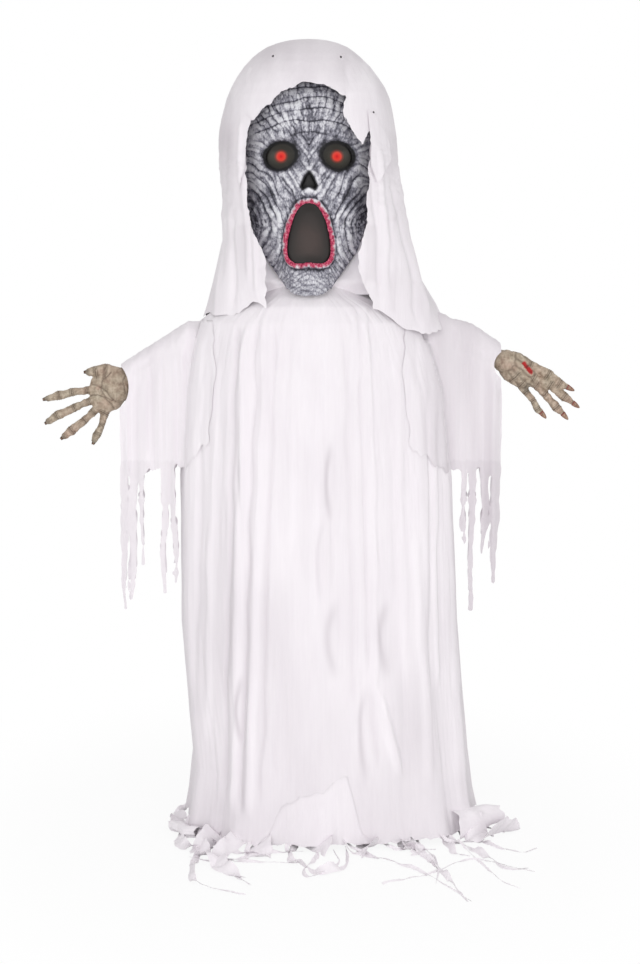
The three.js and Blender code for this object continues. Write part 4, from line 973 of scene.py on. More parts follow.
def mask_relief(x, z):
    """Wrinkles of the moulded face in millimetres outward, and the tone of its dry-brushed paint with
    painted shade and painted highlights laid over it.
    """
    mouth = polygon_distance(x, z, MOUTH)
    nose = polygon_distance(x, z, NOSE)
    eyes = np.minimum(eye_distance(x, z, -1), eye_distance(x, z, 1))
    wide = np.abs(x)
    brow = smooth((z - 1560) / 22)
    arch = z + 0.0021 * x**2 + 7 * noise(x / 36, z / 40, 71)
    fan = np.arctan2(x + 4 * noise(x / 15, z / 20, 82), z - 1470) * 150
    rows = crack(arch, 25, 2.1) * (0.55 + 0.45 * smooth(0.5 + 1.4 * noise(x / 26, z / 30, 83)))
    fans = crack(fan + 5 * noise(x / 20, np.round(arch / 25), 72), 15, 1.6)
    fans = fans * smooth(0.45 + 1.3 * noise(x / 15, z / 16, 84))
    hair = noise(fan / 3.1, z / 16, 86)
    forehead = brow * (-2.3 * rows - 1.5 * fans + 0.45 * hair)
    swirl = np.hypot(wide - 124, (z - 1372) / 1.75) + 8 * noise(x / 34, z / 60, 73)
    swirl_lines = ridge(swirl / 13) - 0.9 * crack(swirl + 5, 23, 1.8)
    hair_low = noise(swirl / 2.4, np.arctan2(z - 1372, wide - 124) * 5, 87)
    around = np.arctan2(x, z - MOUTH_Z) * 62
    puckers = ridge((around + 3 * noise(x / 9, z / 9, 88)) / 10)
    near = smooth((30 - mouth) / 16) * smooth((mouth - 5) / 4) * smooth((z - MOUTH_Z + 30) / 50)
    cheeks = (1 - brow) * smooth((eyes - 8) / 12) * smooth((nose - 4) / 6)
    folds = mix(2.3 * swirl_lines - 1.1 + 0.5 * hair_low, 1.8 * puckers - 0.9, near)
    chin = smooth((CHIN_Z + 62 - z) / 14) * smooth((mouth - 8) / 6)
    chin_lines = ridge((z + 0.014 * x**2 + 5 * noise(x / 14, z / 12, 81)) / 11)
    folds = mix(folds, 1.7 * chin_lines - 0.8, chin)
    out = forehead + cheeks * folds * smooth((mouth - 5) / 5)
    out = out + 3.2 * rough(x / 60, z / 60, 76, 2) * smooth((eyes - 4) / 8)
    out = out + 0.7 * noise(x / 7, z / 7, 77) + 0.5 * noise(x / 3.4, z / 3.4, 78)
    out = out + 2.0 * bell((eyes - 14) / 7) * (1 + 0.5 * noise(x / 18, z / 18, 79))
    out = out + 2.4 * bell((nose - 6) / 5)
    lip = 1 + 0.34 * noise(x / 4, z / 4, 80)
    out = out + 4.0 * lip * bell((mouth - 4) / 3.4) - 1.6 * bell((mouth - 11) / 4)
    tone = 0.5 + 0.17 * (out - blurred(out, 24)) + 0.06 * (blurred(out, 10) - blurred(out, 120))
    tone = tone + 0.19 * (brow * hair + (1 - brow) * hair_low * (1 - chin))
    tone = tone - brow * (0.3 * rows + 0.24 * fans)
    for centre_x, centre_z, half_wide, half_tall, change in MASK_SHADE_PATCHES:
        tone = tone + change * bell(np.hypot((wide - centre_x) / half_wide, (z - centre_z) / half_tall))
    # Painted shade in the eye sockets and in the groove round the lips.
    tone = tone - 0.2 * smooth((24 - eyes) / 16) - 0.14 * bell((mouth - 12) / 5)
    return out, tone, mouth, nose, eyes


def mask_material():
    made = Surface("mask_dry_brushed_and_shaded", Roughness=0.62, Specular_IOR_Level=0.3)
    # This attribute holds the dry-brushed paint's tone with painted shade and painted highlights laid over
    # it.
    relief = made.attribute("relief")
    mottle = made.noise((230, 230, 200), detail=5, roughness=0.7)
    streaks = made.noise((620, 620, 120), detail=2)
    patches = made.noise((24, 24, 20))
    spots = made.math("ADD", made.math("MULTIPLY", mottle, 0.9), made.math("MULTIPLY", streaks, 0.45))
    spots = made.math("ADD", spots, made.math("MULTIPLY", patches, 0.5))
    tone = made.math("ADD", relief, made.math("SUBTRACT", spots, 0.925), clamp=True)
    places = (0.06, 0.28, 0.5, 0.68, 0.9)
    greys = (rgb(46, 46, 53), rgb(92, 91, 101), rgb(148, 147, 158), rgb(208, 207, 214), rgb(234, 234, 238))
    grey = made.ramp(tone, list(zip(places, greys)))
    lip_stops = [(0.34, rgb(112, 22, 50)), (0.5, rgb(192, 56, 92)), (0.7, rgb(220, 150, 165))]
    grey = made.blended(made.attribute("lip"), grey, made.ramp(mottle, lip_stops))
    made.colour(made.blended(made.attribute("rim"), grey, rgb(22, 22, 24)))
    made.bump(made.math("ADD", mottle, streaks), 0.0009, 0.6)
    made.roughness(mottle, 0.5, 0.78)
    return made.material


def face_mask():
    share, z = np.meshgrid(np.linspace(-1, 1, 176), np.linspace(MASK_TOP, CHIN_Z, 272))
    x, y = mask_surface(share, z)
    out, tone, mouth, nose, eyes = mask_relief(x, z)
    rim = smooth((1 - np.abs(share)) / 0.05) * smooth((MASK_TOP - z) / 8)
    points = np.stack([x, y, z], -1)
    normals = grid_normals(points)
    normals = normals * np.where(normals[..., 1:2] > 0, -1, 1)
    points = points + normals * (out * rim)[..., None]
    tone = tone - 0.1 * smooth((np.abs(share) - 0.88) / 0.12)
    dark = smooth((8.5 + 1.5 * noise(x / 8, z / 8, 84) - eyes) / 4)
    dark = np.maximum(dark, smooth((5.5 - nose) / 3.5))
    lips = smooth((7 + 2.2 * noise(x / 5, z / 5, 85) - mouth) / 3)
    chin_edge = z - CHIN_Z - 13 * np.minimum(1, np.abs(x) / 42) ** 4 - 1.5
    keep = np.minimum(np.minimum(eyes, nose), np.minimum(mouth, chin_edge))
    tone, material = np.clip(tone, 0, 1), mask_material()
    made = add_grid("mask_face", points, keep, material, relief=tone, rim=dark, lip=lips)
    thickened(made, 3.2)
    declare(made, "head", "mask_grey", "face_mask")


def film_material(name, inner, outer, lit=False):
    """Black see-out mesh stretched over an opening, with its fine holes, a painted sheen and painted shade
    at its edge; where a light is behind it, its glow is painted on as emission.
    """
    made = Surface(name, Roughness=0.55, Specular_IOR_Level=0.35)
    pores = made.node("ShaderNodeTexVoronoi", Scale=650.0)
    made.link(made.place, pores.inputs["Vector"])
    cloudy = made.noise((22, 22, 30))
    # Painted reflection: the film is lighter where the sheen attribute is high.
    painted_sheen = made.math("MULTIPLY", made.attribute("sheen"), made.math("ADD", cloudy, 0.55), clamp=True)
    base = made.ramp(painted_sheen, [(0.06, outer), (0.95, inner)])
    # Painted shade: near black where the mask's rim overhangs the film.
    base = made.blended(made.attribute("edge"), base, rgb(20, 19, 19))
    if lit:
        # Painted glow: the light behind each eye is painted on as red emission and a reddened colour.
        glow = made.attribute("glow")
        places = (0.08, 0.3, 0.5, 0.72, 0.9)
        reds = (rgb(0, 0, 0), rgb(96, 30, 22), rgb(204, 56, 40), rgb(218, 40, 30), rgb(196, 8, 12))
        spot = made.ramp(glow, list(zip(places, reds)))
        base = made.blended(made.math("MULTIPLY", glow, 1.6, clamp=True), base, rgb(60, 8, 6))
        made.link(spot, made.shader.inputs["Emission Color"])
        made.shader.inputs["Emission Strength"].default_value = 1.0
    made.colour(base)
    made.bump(pores.outputs["Distance"], 0.0003, 0.5)
    made.roughness(cloudy, 0.42, 0.62)
    return made.material


# Distance from the middle of an eye where its red glow ends
GLOW_RADIUS = 18


def film(name, node, distance, box, material, side=0):
    """A smooth patch close behind an opening of the mask."""
    x0, x1, z0, z1 = box
    middle, tall = (z0 + z1) / 2, z1 - z0
    x, z = np.meshgrid(np.linspace(x0, x1, 64), np.linspace(z1, z0, 72))
    share = x / table_at(MASK, z, 1)
    _, y = mask_surface(share, z, inward=5.4)
    away = distance(x, z)
    depth = smooth(-away / 24)
    y = y + 3.5 * depth
    spot_x, spot_z = (x - side * EYE_X) / 34, (z - middle + 0.12 * tall) / (0.3 * tall)
    # Painted reflection in the lower middle, fading out near the opening's edge and, as painted shade,
    # towards the bottom.
    sheen = depth * smooth((z - z0) / (0.24 * tall) - 0.1) * bell(np.hypot(spot_x, spot_z))
    # Painted shade at and behind the opening's edge, where the mask's rim overhangs the film.
    edge = smooth((away + 5) / 5)
    # Painted glow, brightest in the middle of each eye.
    lit = np.clip(1 - np.hypot(x - side * EYE_X, z - EYE_Z) / GLOW_RADIUS, 0, 1)
    glow = lit if side else 0 * x
    points = np.stack([x, y, z], -1)
    made = add_grid(name, points, 6.5 - away, material, sheen=sheen, edge=edge, glow=glow)
    thickened(made, 0.9)
    declare(made, "head", "dark_mesh", node)


def openings_films():
    material = film_material("eye_film", rgb(78, 75, 66), rgb(50, 48, 43), lit=True)
    for name, side in (("right", -1), ("left", 1)):
        box = (side * EYE_X - 42, side * EYE_X + 42, EYE_Z - 40, EYE_Z + 40)
        distance = partial(eye_distance, side=side)
        film(f"eye_film_{name}", f"eye_mesh_{name}", distance, box, material, side)
    material = film_material("mouth_film", rgb(62, 50, 47), rgb(31, 25, 23))
    box = (-58, 58, MOUTH_Z - 72, MOUTH_Z + 84)
    film("mouth_film", "mouth_mesh", partial(polygon_distance, outline=MOUTH), box, material)
    material = film_material("nose_film", rgb(40, 38, 37), rgb(18, 17, 17))
    box = (-23, 23, EYE_Z - 80, EYE_Z - 29)
    film("nose_film", "nose_backing", partial(polygon_distance, outline=NOSE), box, material)


face_mask()
openings_films()
for name, (side, edge) in HOOD_EDGES.items():
    hood_inner_fold(f"hood_fold_{name}", side, edge)

# Hands: each finger as x, z and radius from its root to its tip, and the palm as ovals
HANDS = {
    "right": {
        "back": 1,
        "nail_edge": rgb(70, 62, 56),
        "wrist": (-420, 1022),
        "fingers": {
            "thumb": [(-436, 1037, 15), (-465, 1044, 15), (-488, 1042, 12.5), (-512, 1039, 9.5)],
            "index": [
                (-470, 1000, 12), (-508, 997, 9), (-543, 993, 9.5),
                (-572, 986, 10.5), (-606, 977, 6.5),
            ],
            "middle": [
                (-470, 988, 12), (-504, 972, 9), (-537, 958, 9.5),
                (-577, 939, 11), (-602, 923, 7),
            ],
            "ring": [(-465, 976, 12), (-494, 948, 10), (-514, 929, 9), (-543, 906, 11), (-566, 888, 7)],
            "little": [
                (-455, 965, 12), (-468, 945, 10.5), (-475, 919, 8),
                (-485, 898, 10), (-494, 877, 7),
            ],
        },
        "palm": [(-462, 996, 42, 48, 17, 0), (-437, 1010, 32, 41, 18, 0), (-450, 1024, 30, 24, 19, 0)],
        "creases": [
            [(-452, 1040), (-470, 1022), (-474, 1002), (-462, 982), (-440, 972)],
            [(-494, 1012), (-478, 1008), (-462, 996), (-446, 978)],
            [(-500, 984), (-484, 990), (-468, 984), (-452, 968), (-444, 956)],
            [(-420, 1034), (-424, 1014), (-420, 992)],
        ],
        "wound": [(-478, 1006), (-482, 1003)],
        "nail": (14, 0.45),
    },
    "left": {
        "back": -1,
        "nail_edge": rgb(132, 26, 30),
        "wrist": (431, 1070),
        "fingers": {
            "index": [
                (474, 1070, 13), (506, 1055, 11.5), (548, 1035, 11),
                (573, 1014, 10.5), (601, 1000, 4.5),
            ],
            "middle": [(474, 1056, 13), (514, 1026, 9), (552, 1009, 9), (584, 983, 11), (613, 962, 5)],
            "ring": [(470, 1042, 12), (520, 1008, 9), (540, 989, 9), (566, 959, 11), (588, 936, 5)],
            "little": [(466, 1032, 12), (497, 994, 9), (513, 974, 7.5), (523, 956, 9.5), (538, 939, 5)],
            "thumb": [(450, 1048, 14), (470, 1028, 12), (486, 1012, 10), (500, 1002, 7)],
        },
        "palm": [(477, 1045, 50, 36, 17, -0.6), (452, 1062, 28, 28, 19, -0.6)],
        "creases": [
            [(500, 1062), (476, 1078)],
            [(508, 1036), (474, 1062)],
            [(508, 1016), (470, 1048)],
            [(490, 1010), (462, 1040)],
        ],
        "wound": [(492, 1059), (498, 1050), (507, 1041)],
        "nail": (19, 0.85),
    },
}
# How far each fingertip is bent to the front
FINGER_BENDS = {"thumb": 3, "index": 5, "middle": 7, "ring": 8, "little": 9}
THUMB_BEND_FROM_BACK = -24


def tube_along(stations, sides=14, step=2.5, flat=0.9):
    """A closed, round-ended tube through stations of place and radius."""
    stations = np.asarray(stations, float)
    lengths = np.linalg.norm(np.diff(stations[:, :3], axis=0), axis=1)
    at = np.concatenate([[0], np.cumsum(lengths)])
    spots = np.linspace(0, at[-1], max(6, int(at[-1] / step)))
    centre = np.stack([np.interp(spots, at, stations[:, k]) for k in range(3)], -1)
    radius = np.interp(spots, at, stations[:, 3])
    for joint in at[1:-1]:
        radius = radius * (1 + 0.1 * bell((spots - joint) / 7))
    for middle in (at[1:] + at[:-1]) / 2:
        radius = radius * (1 - 0.08 * bell((spots - middle) / 8))
    end = np.minimum(spots, at[-1] - spots)
    radius = radius * np.sqrt(np.clip(1 - (1 - np.clip(end / radius, 0, 1)) ** 2, 0.02, 1))
    along = np.gradient(centre, axis=0)
    along /= np.linalg.norm(along, axis=1, keepdims=True)
    front = np.array([0.0, -1.0, 0.0])
    across = np.cross(along, front)
    across /= np.linalg.norm(across, axis=1, keepdims=True)
    turn = np.linspace(0, 2 * math.pi, sides, endpoint=False)
    ring = across[:, None] * np.cos(turn)[None, :, None] + front * flat * np.sin(turn)[None, :, None]
    points = (centre[:, None] + ring * radius[:, None, None]).reshape(-1, 3)
    return points, ring_faces(len(spots), sides)


def oval_body(x, z, long, tall, thick, turn, rings=16, sides=24):
    """A flat oval body in the plane of the palm."""
    points = []
    for ring in range(rings + 1):
        part = -1 + 2 * ring / rings
        forward = part * long
        reach = max(0.05, math.sqrt(max(0, 1 - abs(part) ** 2.4)))
        for k in range(sides):
            angle = 2 * math.pi * k / sides
            side, deep = reach * tall * math.cos(angle), reach * thick * math.sin(angle)
            place_x = x + forward * math.cos(turn) - side * math.sin(turn)
            place_z = z + forward * math.sin(turn) + side * math.cos(turn)
            points.append((place_x, -deep, place_z))
    return np.array(points), ring_faces(rings + 1, sides)


def finger_bend(name, back):
    """How far a fingertip is bent to the front; behind it for the thumb of the hand seen from its back."""
    return THUMB_BEND_FROM_BACK if name == "thumb" and back < 0 else FINGER_BENDS[name]


def finger_stations(finger, bend):
    last = len(finger) - 1
    return [(x, -bend * (k / last) ** 1.6, z, r) for k, (x, z, r) in enumerate(finger)]


def hand_material():
    made = Surface("hand_aged_skin", Roughness=0.55, Specular_IOR_Level=0.4)
    mottle = made.noise((95, 95, 95), detail=5)
    patches = made.noise((22, 22, 22), detail=2)
    lines = made.noise((420, 420, 160))
    browns = [(0.3, rgb(136, 116, 99)), (0.5, rgb(186, 168, 149)), (0.72, rgb(214, 199, 180))]
    tints = [(0.35, rgb(158, 160, 138)), (0.5, rgb(174, 158, 138)), (0.66, rgb(180, 146, 130))]
    skin, tint = made.ramp(mottle, browns), made.ramp(patches, tints)
    skin = made.blended(made.math("MULTIPLY", patches, 0.55), skin, tint)
    skin = made.blended(made.attribute("crease"), skin, rgb(82, 66, 52))
    skin = made.blended(made.attribute("tip"), skin, rgb(92, 86, 76))
    raw = made.ramp(mottle, [(0.38, rgb(96, 20, 18)), (0.55, rgb(176, 26, 28))])
    made.colour(made.blended(made.attribute("wound"), skin, raw))
    made.bump(made.math("ADD", mottle, lines), 0.0012, 0.6)
    made.roughness(mottle, 0.45, 0.7)
    return made.material


def hand_body(name, material):
    """The palm, wrist and fingers of a hand, grown together in one skin."""
    table = HANDS[name]
    wrist_x, wrist_z = table["wrist"]
    side = 1 if wrist_x > 0 else -1
    bodies = [oval_body(*oval) for oval in table["palm"]]
    wrist = [(wrist_x - side * 16, 0, wrist_z + 6, 25), (wrist_x + side * 22, 0, wrist_z - 6, 26)]
    bodies.append(tube_along(wrist, sides=24, flat=0.8))
    for key, finger in table["fingers"].items():
        bodies.append(tube_along(finger_stations(finger, finger_bend(key, table["back"]))))
    made = add_mesh(f"hand_skin_{name}", *joined_meshes(bodies), material)
    grown = made.modifiers.new("skin", "REMESH")
    grown.mode, grown.voxel_size = "VOXEL", 2.2 * MM
    soft = made.modifiers.new("soft", "SMOOTH")
    soft.factor, soft.iterations = 0.5, 5
    applied(made)
    return made


def finger_marks(x, z, fingers):
    """Creases over the joints of the fingers, and how near each point is to a fingertip."""
    crease, tip = np.zeros(len(x)), np.zeros(len(x))
    for finger in fingers:
        bone = line_distance(x, z, [(px, pz) for px, pz, _ in finger[1:]])
        for k in range(1, len(finger) - 1):
            px, pz, radius = finger[k]
            (ax, az, _), (bx, bz, _) = finger[k - 1], finger[k + 1]
            run = math.hypot(bx - ax, bz - az)
            forward = ((x - px) * (bx - ax) + (z - pz) * (bz - az)) / run
            near = smooth((radius * 1.7 - bone) / 5)
            near = near * smooth((radius * 1.6 - np.hypot(x - px, z - pz)) / 5)
            for offset, depth in ((-4.5, 0.65), (-0.5, 1), (3.5, 0.65)):
                wavy = forward - offset + 0.8 * noise(x / 4, z / 4, k)
                crease = np.maximum(crease, near * bell(wavy / 1.3) * depth)
        px, pz, _ = finger[-1]
        tip = np.maximum(tip, smooth((17 - np.hypot(x - px, z - pz)) / 12))
    return crease, tip


def hand(name, material, nail_material):
    """An aged hand with creases at its joints, lines on its front, a wound and nails."""
    table = HANDS[name]
    back, fingers = table["back"], table["fingers"]
    made = hand_body(name, material)
    mesh = made.data
    place, normal = np.empty(len(mesh.vertices) * 3), np.empty(len(mesh.vertices) * 3)
    mesh.vertices.foreach_get("co", place)
    mesh.vertices.foreach_get("normal", normal)
    place, normal = place.reshape(-1, 3) / MM, normal.reshape(-1, 3)
    x, y, z = place.T
    facing = -np.sign(normal[:, 1])
    crease, tip = finger_marks(x, z, fingers.values())
    for k, line in enumerate(table["creases"]):
        wander = line_distance(x + 2 * noise(x / 12, z / 12, k), z + 2 * noise(x / 9, z / 9, k + 9), line)
        if back > 0:
            crease = np.maximum(crease, 0.8 * bell(wander / 1.5) * (facing > 0))
        else:
            tendon = 0.8 * bell(wander / 4.5) * (facing >= 0)
            place = place + normal * (2.2 * tendon)[:, None]
            crease = np.maximum(crease, 0.6 * bell((wander - 7) / 2.4) * (facing >= 0))
    wrinkles = noise(x / 3.2, z / 7, 5) + noise(x / 7, z / 3.2, 6)
    fine = np.clip(-wrinkles, 0, 1) * 0.28
    torn = line_distance(x + 2 * noise(x / 5, z / 5, 8), z, table["wound"])
    wound = smooth((6.2 + 1.5 * noise(x / 3, z / 3, 9) - torn) / 2.4) * (facing > 0)
    wound = wound * (1 if back < 0 else 0.12)
    height = -1.7 * crease + 0.55 * wrinkles + 0.8 * rough(x / 14, z / 14, 7, 2) - 1.2 * wound
    place = place + normal * height[:, None]
    mesh.vertices.foreach_set("co", (place * MM).reshape(-1))
    set_values(mesh, crease=np.maximum(crease, fine), tip=0.6 * tip, wound=wound)
    mesh.update()
    declare(made, f"{name}_hand", "hand_skin", f"hand_{name}")
    for key, finger in fingers.items():
        bend = finger_bend(key, back)
        nail(f"nail_{key}_{name}", finger, bend, back, nail_material, f"{name}_hand", *table["nail"])


def nail(name, finger, bend, back, material, body, length, taper):
    """A long, hooked nail over a fingertip."""
    (ax, az, _), (bx, bz, radius) = finger[-2:]
    run = math.hypot(bx - ax, bz - az)
    forward = np.array([(bx - ax) / run, 0, (bz - az) / run])
    across = np.array([-forward[2], 0, forward[0]])
    away = np.array([0, back, 0])
    v, u = np.meshgrid(np.linspace(0, 1, 12), np.linspace(-1, 1, 9), indexing="ij")
    width = 5.2 * (1 - taper * v**2.2)
    middle = np.array([bx, -bend, bz]) + ((v[..., None] - 0.68) * length) * forward
    points = middle + (u * width)[..., None] * across
    points = points + (radius * 1.15 + 1.0 - 2.6 * u**2 - 4.5 * v**2)[..., None] * away
    edge = np.maximum(np.abs(u) ** 4, smooth((0.2 - v) / 0.2))
    made = add_grid(name, points, np.ones(u.shape), material, edge=edge)
    thickened(made, 1.1)
    declare(made, body, "hand_skin")


def nail_horn(name, edge):
    made = Surface(name, Roughness=0.4)
    streaks = made.noise((260, 260, 90))
    horn = made.ramp(streaks, [(0.35, rgb(120, 84, 70)), (0.65, rgb(170, 140, 116))])
    made.colour(made.blended(made.attribute("edge"), horn, edge))
    made.bump(streaks, 0.0004, 0.5)
    made.roughness(streaks, 0.32, 0.5)
    return made.material


skin = hand_material()
for name, table in HANDS.items():
    hand(name, skin, nail_horn(f"nail_horn_{name}", table["nail_edge"]))

# Torn hem ends on the floor: path, width, how often the strip turns over, how high it may stand
HEM_STRIPS = {
    "hem_strip_right_side": ([(-246, -112), (-282, -88), (-304, -30), (-314, 40)], 44, 1.4, 16),
    "hem_strip_right_front": ([(-215, -120), (-240, -200), (-190, -290), (-120, -390)], 40, 2.3, 26),
    "hem_loop_front": (
        [(-30, -180), (-40, -260), (20, -320), (75, -290), (85, -230), (80, -180)], 20, 2.6, 18
    ),
    "hem_pile_left": ([(330, -40), (372, -120), (420, -150), (456, -90), (440, -20), (400, 0)], 62, 1.6, 50),
    "hem_tail_left_upper": ([(300, -130), (370, -215), (420, -300), (470, -300)], 18, 2.6, 13),
    "hem_tail_left_lower": ([(210, -150), (262, -260), (300, -380), (322, -465)], 15, 3.2, 12),
}
STRIP_STEP = 4.0


def smooth_path(points):
    """Even points along a smooth curve through the given ones, and the curve's length."""
    points = np.array(points, float)
    padded = np.vstack([2 * points[0] - points[1], points, 2 * points[-1] - points[-2]])
    curve = []
    for k in range(1, len(padded) - 2):
        before, start, end, after = padded[k - 1 : k + 3]
        second = 2 * before - 5 * start + 4 * end - after
        third = 3 * start - before - 3 * end + after
        for t in np.linspace(0, 1, 24, endpoint=False):
            curve.append(0.5 * (2 * start + (end - before) * t + second * t**2 + third * t**3))
    curve = np.array([*curve, points[-1]])
    along = np.concatenate([[0], np.cumsum(np.linalg.norm(np.diff(curve, axis=0), axis=1))])
    places = np.linspace(0, along[-1], max(4, int(along[-1] / STRIP_STEP)))
    return np.stack([np.interp(places, along, column) for column in curve.T], 1), along[-1]


def floor_strip(path, width, turns, height, seed, columns=9, start_z=0.0):
    """A torn strip of cloth that lies, turns over and crumples along a path on the floor."""
    centre, length = smooth_path(path)
    steps = np.linspace(0, 1, len(centre))
    tangent = np.gradient(centre, axis=0)
    tangent /= np.linalg.norm(tangent, axis=1)[:, None]
    across = np.stack([-tangent[:, 1], tangent[:, 0]], 1)
    u = np.linspace(-1, 1, columns)
    t, side = np.meshgrid(steps, u, indexing="ij")
    taper = 1 - 0.8 * smooth((t - 0.55) / 0.45)
    half = width / 2 * taper * (1 + 0.22 * noise(t * length / 26, seed * 0.37, seed))
    most = math.asin(min(0.98, height / width))
    tilt = most * np.sin(turns * 2 * math.pi * t + seed) + 0.35 * noise(t * length / 18, 0.5, seed + 1)
    curl = 0.5 * np.sin(turns * 5 * t + 2 * seed)
    sideways = half * np.sin(side * 1.2) / 0.93 * np.cos(tilt)
    rise = half * side * np.sin(tilt) + half * curl * 0.5 * (1 - side**2)
    rise = rise - rise.min(axis=1, keepdims=True)
    rise = rise + 1.2 + 1.6 * np.abs(noise(t * length / 9, side * 2, seed + 2))
    rise = rise + start_z * (1 - smooth(t / 0.3))
    wander = 0.12 * width * noise(t * length / 34, 0.2, seed + 3)
    place = centre[:, None] + across[:, None] * (sideways + wander)[..., None]
    points = np.concatenate([place, rise[..., None]], -1)
    edge = 1 - np.abs(side) - 0.16 * np.abs(noise(t * length / 7, np.sign(side), seed + 4))
    fray = (1 - t) * length / max(width, 1) * 2 - 0.7 * np.abs(noise(side * 2.2, 0.3, seed + 5))
    return clipped_grid(points, np.minimum(edge + 0.05, fray))[:2]


# Mean width of a strip's cut as a share of its full width, since its last part tapers
STRIP_TAPER = 0.82


def strip_cut(path, width):
    """Length and area of a strip's flat cut, from its route on the floor."""
    length = float(smooth_path(path)[1]) * MM
    return length, length * width * MM * STRIP_TAPER


# A rolled end's mean radius as a share of its widest, over its turns and then along its length
ROLL_TURN_SHARE = 0.8
ROLL_LENGTH_SHARE = 0.85


def roll_cut(start, end, radius, turns):
    """Length and area of a rolled end's flat cut: its length by its girth over its turns."""
    length = math.dist(start, end) * MM
    girth = 2 * math.pi * turns * ROLL_TURN_SHARE * ROLL_LENGTH_SHARE
    return length, length * radius * MM * girth


def declare_strip(made, flat, *nodes, area=None):
    declare(made, "stand", "cloth_white", *nodes)


for number, (name, (path, width, turns, height)) in enumerate(HEM_STRIPS.items()):
    surface = floor_strip(path, width, turns, height, number + 3)
    length, area = strip_cut(path, width)
    made = add_mesh(f"{name}_cloth", *surface, cloth_white)
    declare_strip(made, (width * MM, length), name, area=area)

# Small torn ends round the hem: angle of the start, reach, width, sideways bend
WISPS = [
    (-100, 34, 16, 40), (-84, 30, 12, -30), (-66, 54, 14, 46), (-44, 90, 10, 50), (-24, 70, 12, 44),
    (-8, 60, 10, 40), (9, 84, 9, 52), (28, 76, 12, 40), (44, 110, 9, 60), (60, 80, 12, -30),
    (74, 84, 12, -26), (98, 50, 10, 20), (125, 40, 12, -20), (150, 46, 10, 24), (180, 40, 12, 20),
    (-150, 44, 11, -22), (-125, 46, 12, 20),
]
# Long thin ends that trail over the floor: path, width, how often the strip turns over
TRAILS = [
    ([(-205, -120), (-230, -170), (-250, -300), (-232, -378), (-128, -432)], 17, 2.2),
    ([(-260, -120), (-210, -235), (-160, -262), (-90, -268), (-19, -270)], 7, 3),
    ([(-120, -180), (-26, -178), (19, -227), (-12, -317), (10, -341), (63, -278), (54, -200)], 9, 3.4),
    ([(66, -150), (105, -211), (195, -278), (257, -341), (330, -462)], 8, 3.2),
    ([(146, -160), (190, -205), (224, -200), (272, -292), (264, -378)], 8, 2.6),
    ([(231, -130), (250, -190), (271, -238), (278, -300)], 7, 1.8),
    ([(151, -402), (210, -360), (269, -317), (352, -252), (436, -292), (482, -317)], 5, 3.4),
    ([(330, -170), (363, -252), (402, -360), (438, -400)], 5, 2.2),
    ([(-230, -150), (-180, -205), (-120, -222), (-60, -214), (-10, -206)], 13, 2.6),
    ([(-150, -175), (-200, -262), (-170, -320), (-131, -352)], 38, 1.1),
    ([(-250, -60), (-290, -150), (-262, -190), (-200, -196)], 34, 1.2),
    ([(120, -150), (132, -215), (118, -262)], 52, 0.5),
    ([(14, -165), (40, -214), (34, -244)], 54, 0.4),
    ([(-96, -165), (-104, -224), (-78, -256)], 58, 0.5),
    ([(204, -150), (232, -208), (222, -240)], 48, 0.4),
    ([(-196, -140), (-236, -196), (-262, -226)], 50, 0.6),
    ([(300, -120), (318, -215), (352, -238)], 20, 1.2),
    ([(-60, -160), (-130, -240), (-210, -262), (-262, -236)], 8, 2.2),
    ([(330, -60), (400, -170), (462, -214), (505, -190)], 9, 2.4),
]


def hem_roll(start, end, radius, turns, seed):
    """A loosely rolled-up end of the hem that lies on the floor."""
    t, s = np.meshgrid(np.linspace(0, 1, 44), np.linspace(0, 1, 40), indexing="ij")
    start, end = np.array(start, float), np.array(end, float)
    along = (end - start) / np.linalg.norm(end - start)
    across = np.array([-along[1], along[0]])
    size = radius * (1 - 0.45 * t**2) * (1 - 0.4 * s) * (1 + 0.16 * noise(t * 5, s * 3, seed))
    size = size + 2.2 * noise(t * 3, s * 14, seed + 1)
    turn = math.pi * (1.25 - 2 * turns * s)
    side = size * np.cos(turn) + 10 * noise(t * 3, 0.4, seed + 2)
    rise = size * np.sin(turn)
    rise = rise - rise.min() + 2
    place = start + (end - start) * t[..., None] + across * side[..., None]
    edge = np.minimum(1 - t, t + 0.02) * 30 - 3 * np.abs(noise(s * 9, 0.2, seed + 3))
    points = np.concatenate([place, rise[..., None]], -1)
    return clipped_grid(points, edge)[:2]


def wisp_path(degrees, reach, bend):
    """Route of a small torn end, from just inside the hem outward with a sideways bend."""
    angle = np.array(math.radians(degrees))
    x, y, out_x, out_y = (float(v) for v in robe_surface(angle, np.array(20.0), fine=0))
    along, beside = np.array([out_x, out_y]), np.array([-out_y, out_x])
    start = np.array([x, y]) - 14 * along
    return [
        start,
        start + along * reach * 0.4 + beside * bend * 0.15,
        start + along * reach * 0.8 + beside * bend * 0.6,
        start + along * (reach + 6) + beside * bend,
    ]


def hem_wisps():
    rolls = [((318, -118), (436, -52), 36, 0.8), ((-246, -150), (-318, -96), 20, 0.7)]
    parts = [hem_roll(*roll, 140 + 10 * k) for k, roll in enumerate(rolls)]
    cuts = [roll_cut(*roll) for roll in rolls]
    for number, (path, width, turns) in enumerate(TRAILS):
        parts.append(floor_strip(path, width, turns, width * 0.75, number + 120, 5, start_z=10))
        cuts.append(strip_cut(path, width))
    for number, (degrees, reach, width, bend) in enumerate(WISPS):
        path = wisp_path(degrees, reach, bend)
        parts.append(floor_strip(path, width, reach / 70, width * 0.7, number + 60, 5, start_z=26))
        cuts.append(strip_cut(path, width))
    made = add_mesh("hem_wisps", *joined_meshes(parts), cloth_white)
    length, area = (sum(cut[k] for cut in cuts) for k in range(2))
    declare_strip(made, (area / length, length))


hem_wisps()

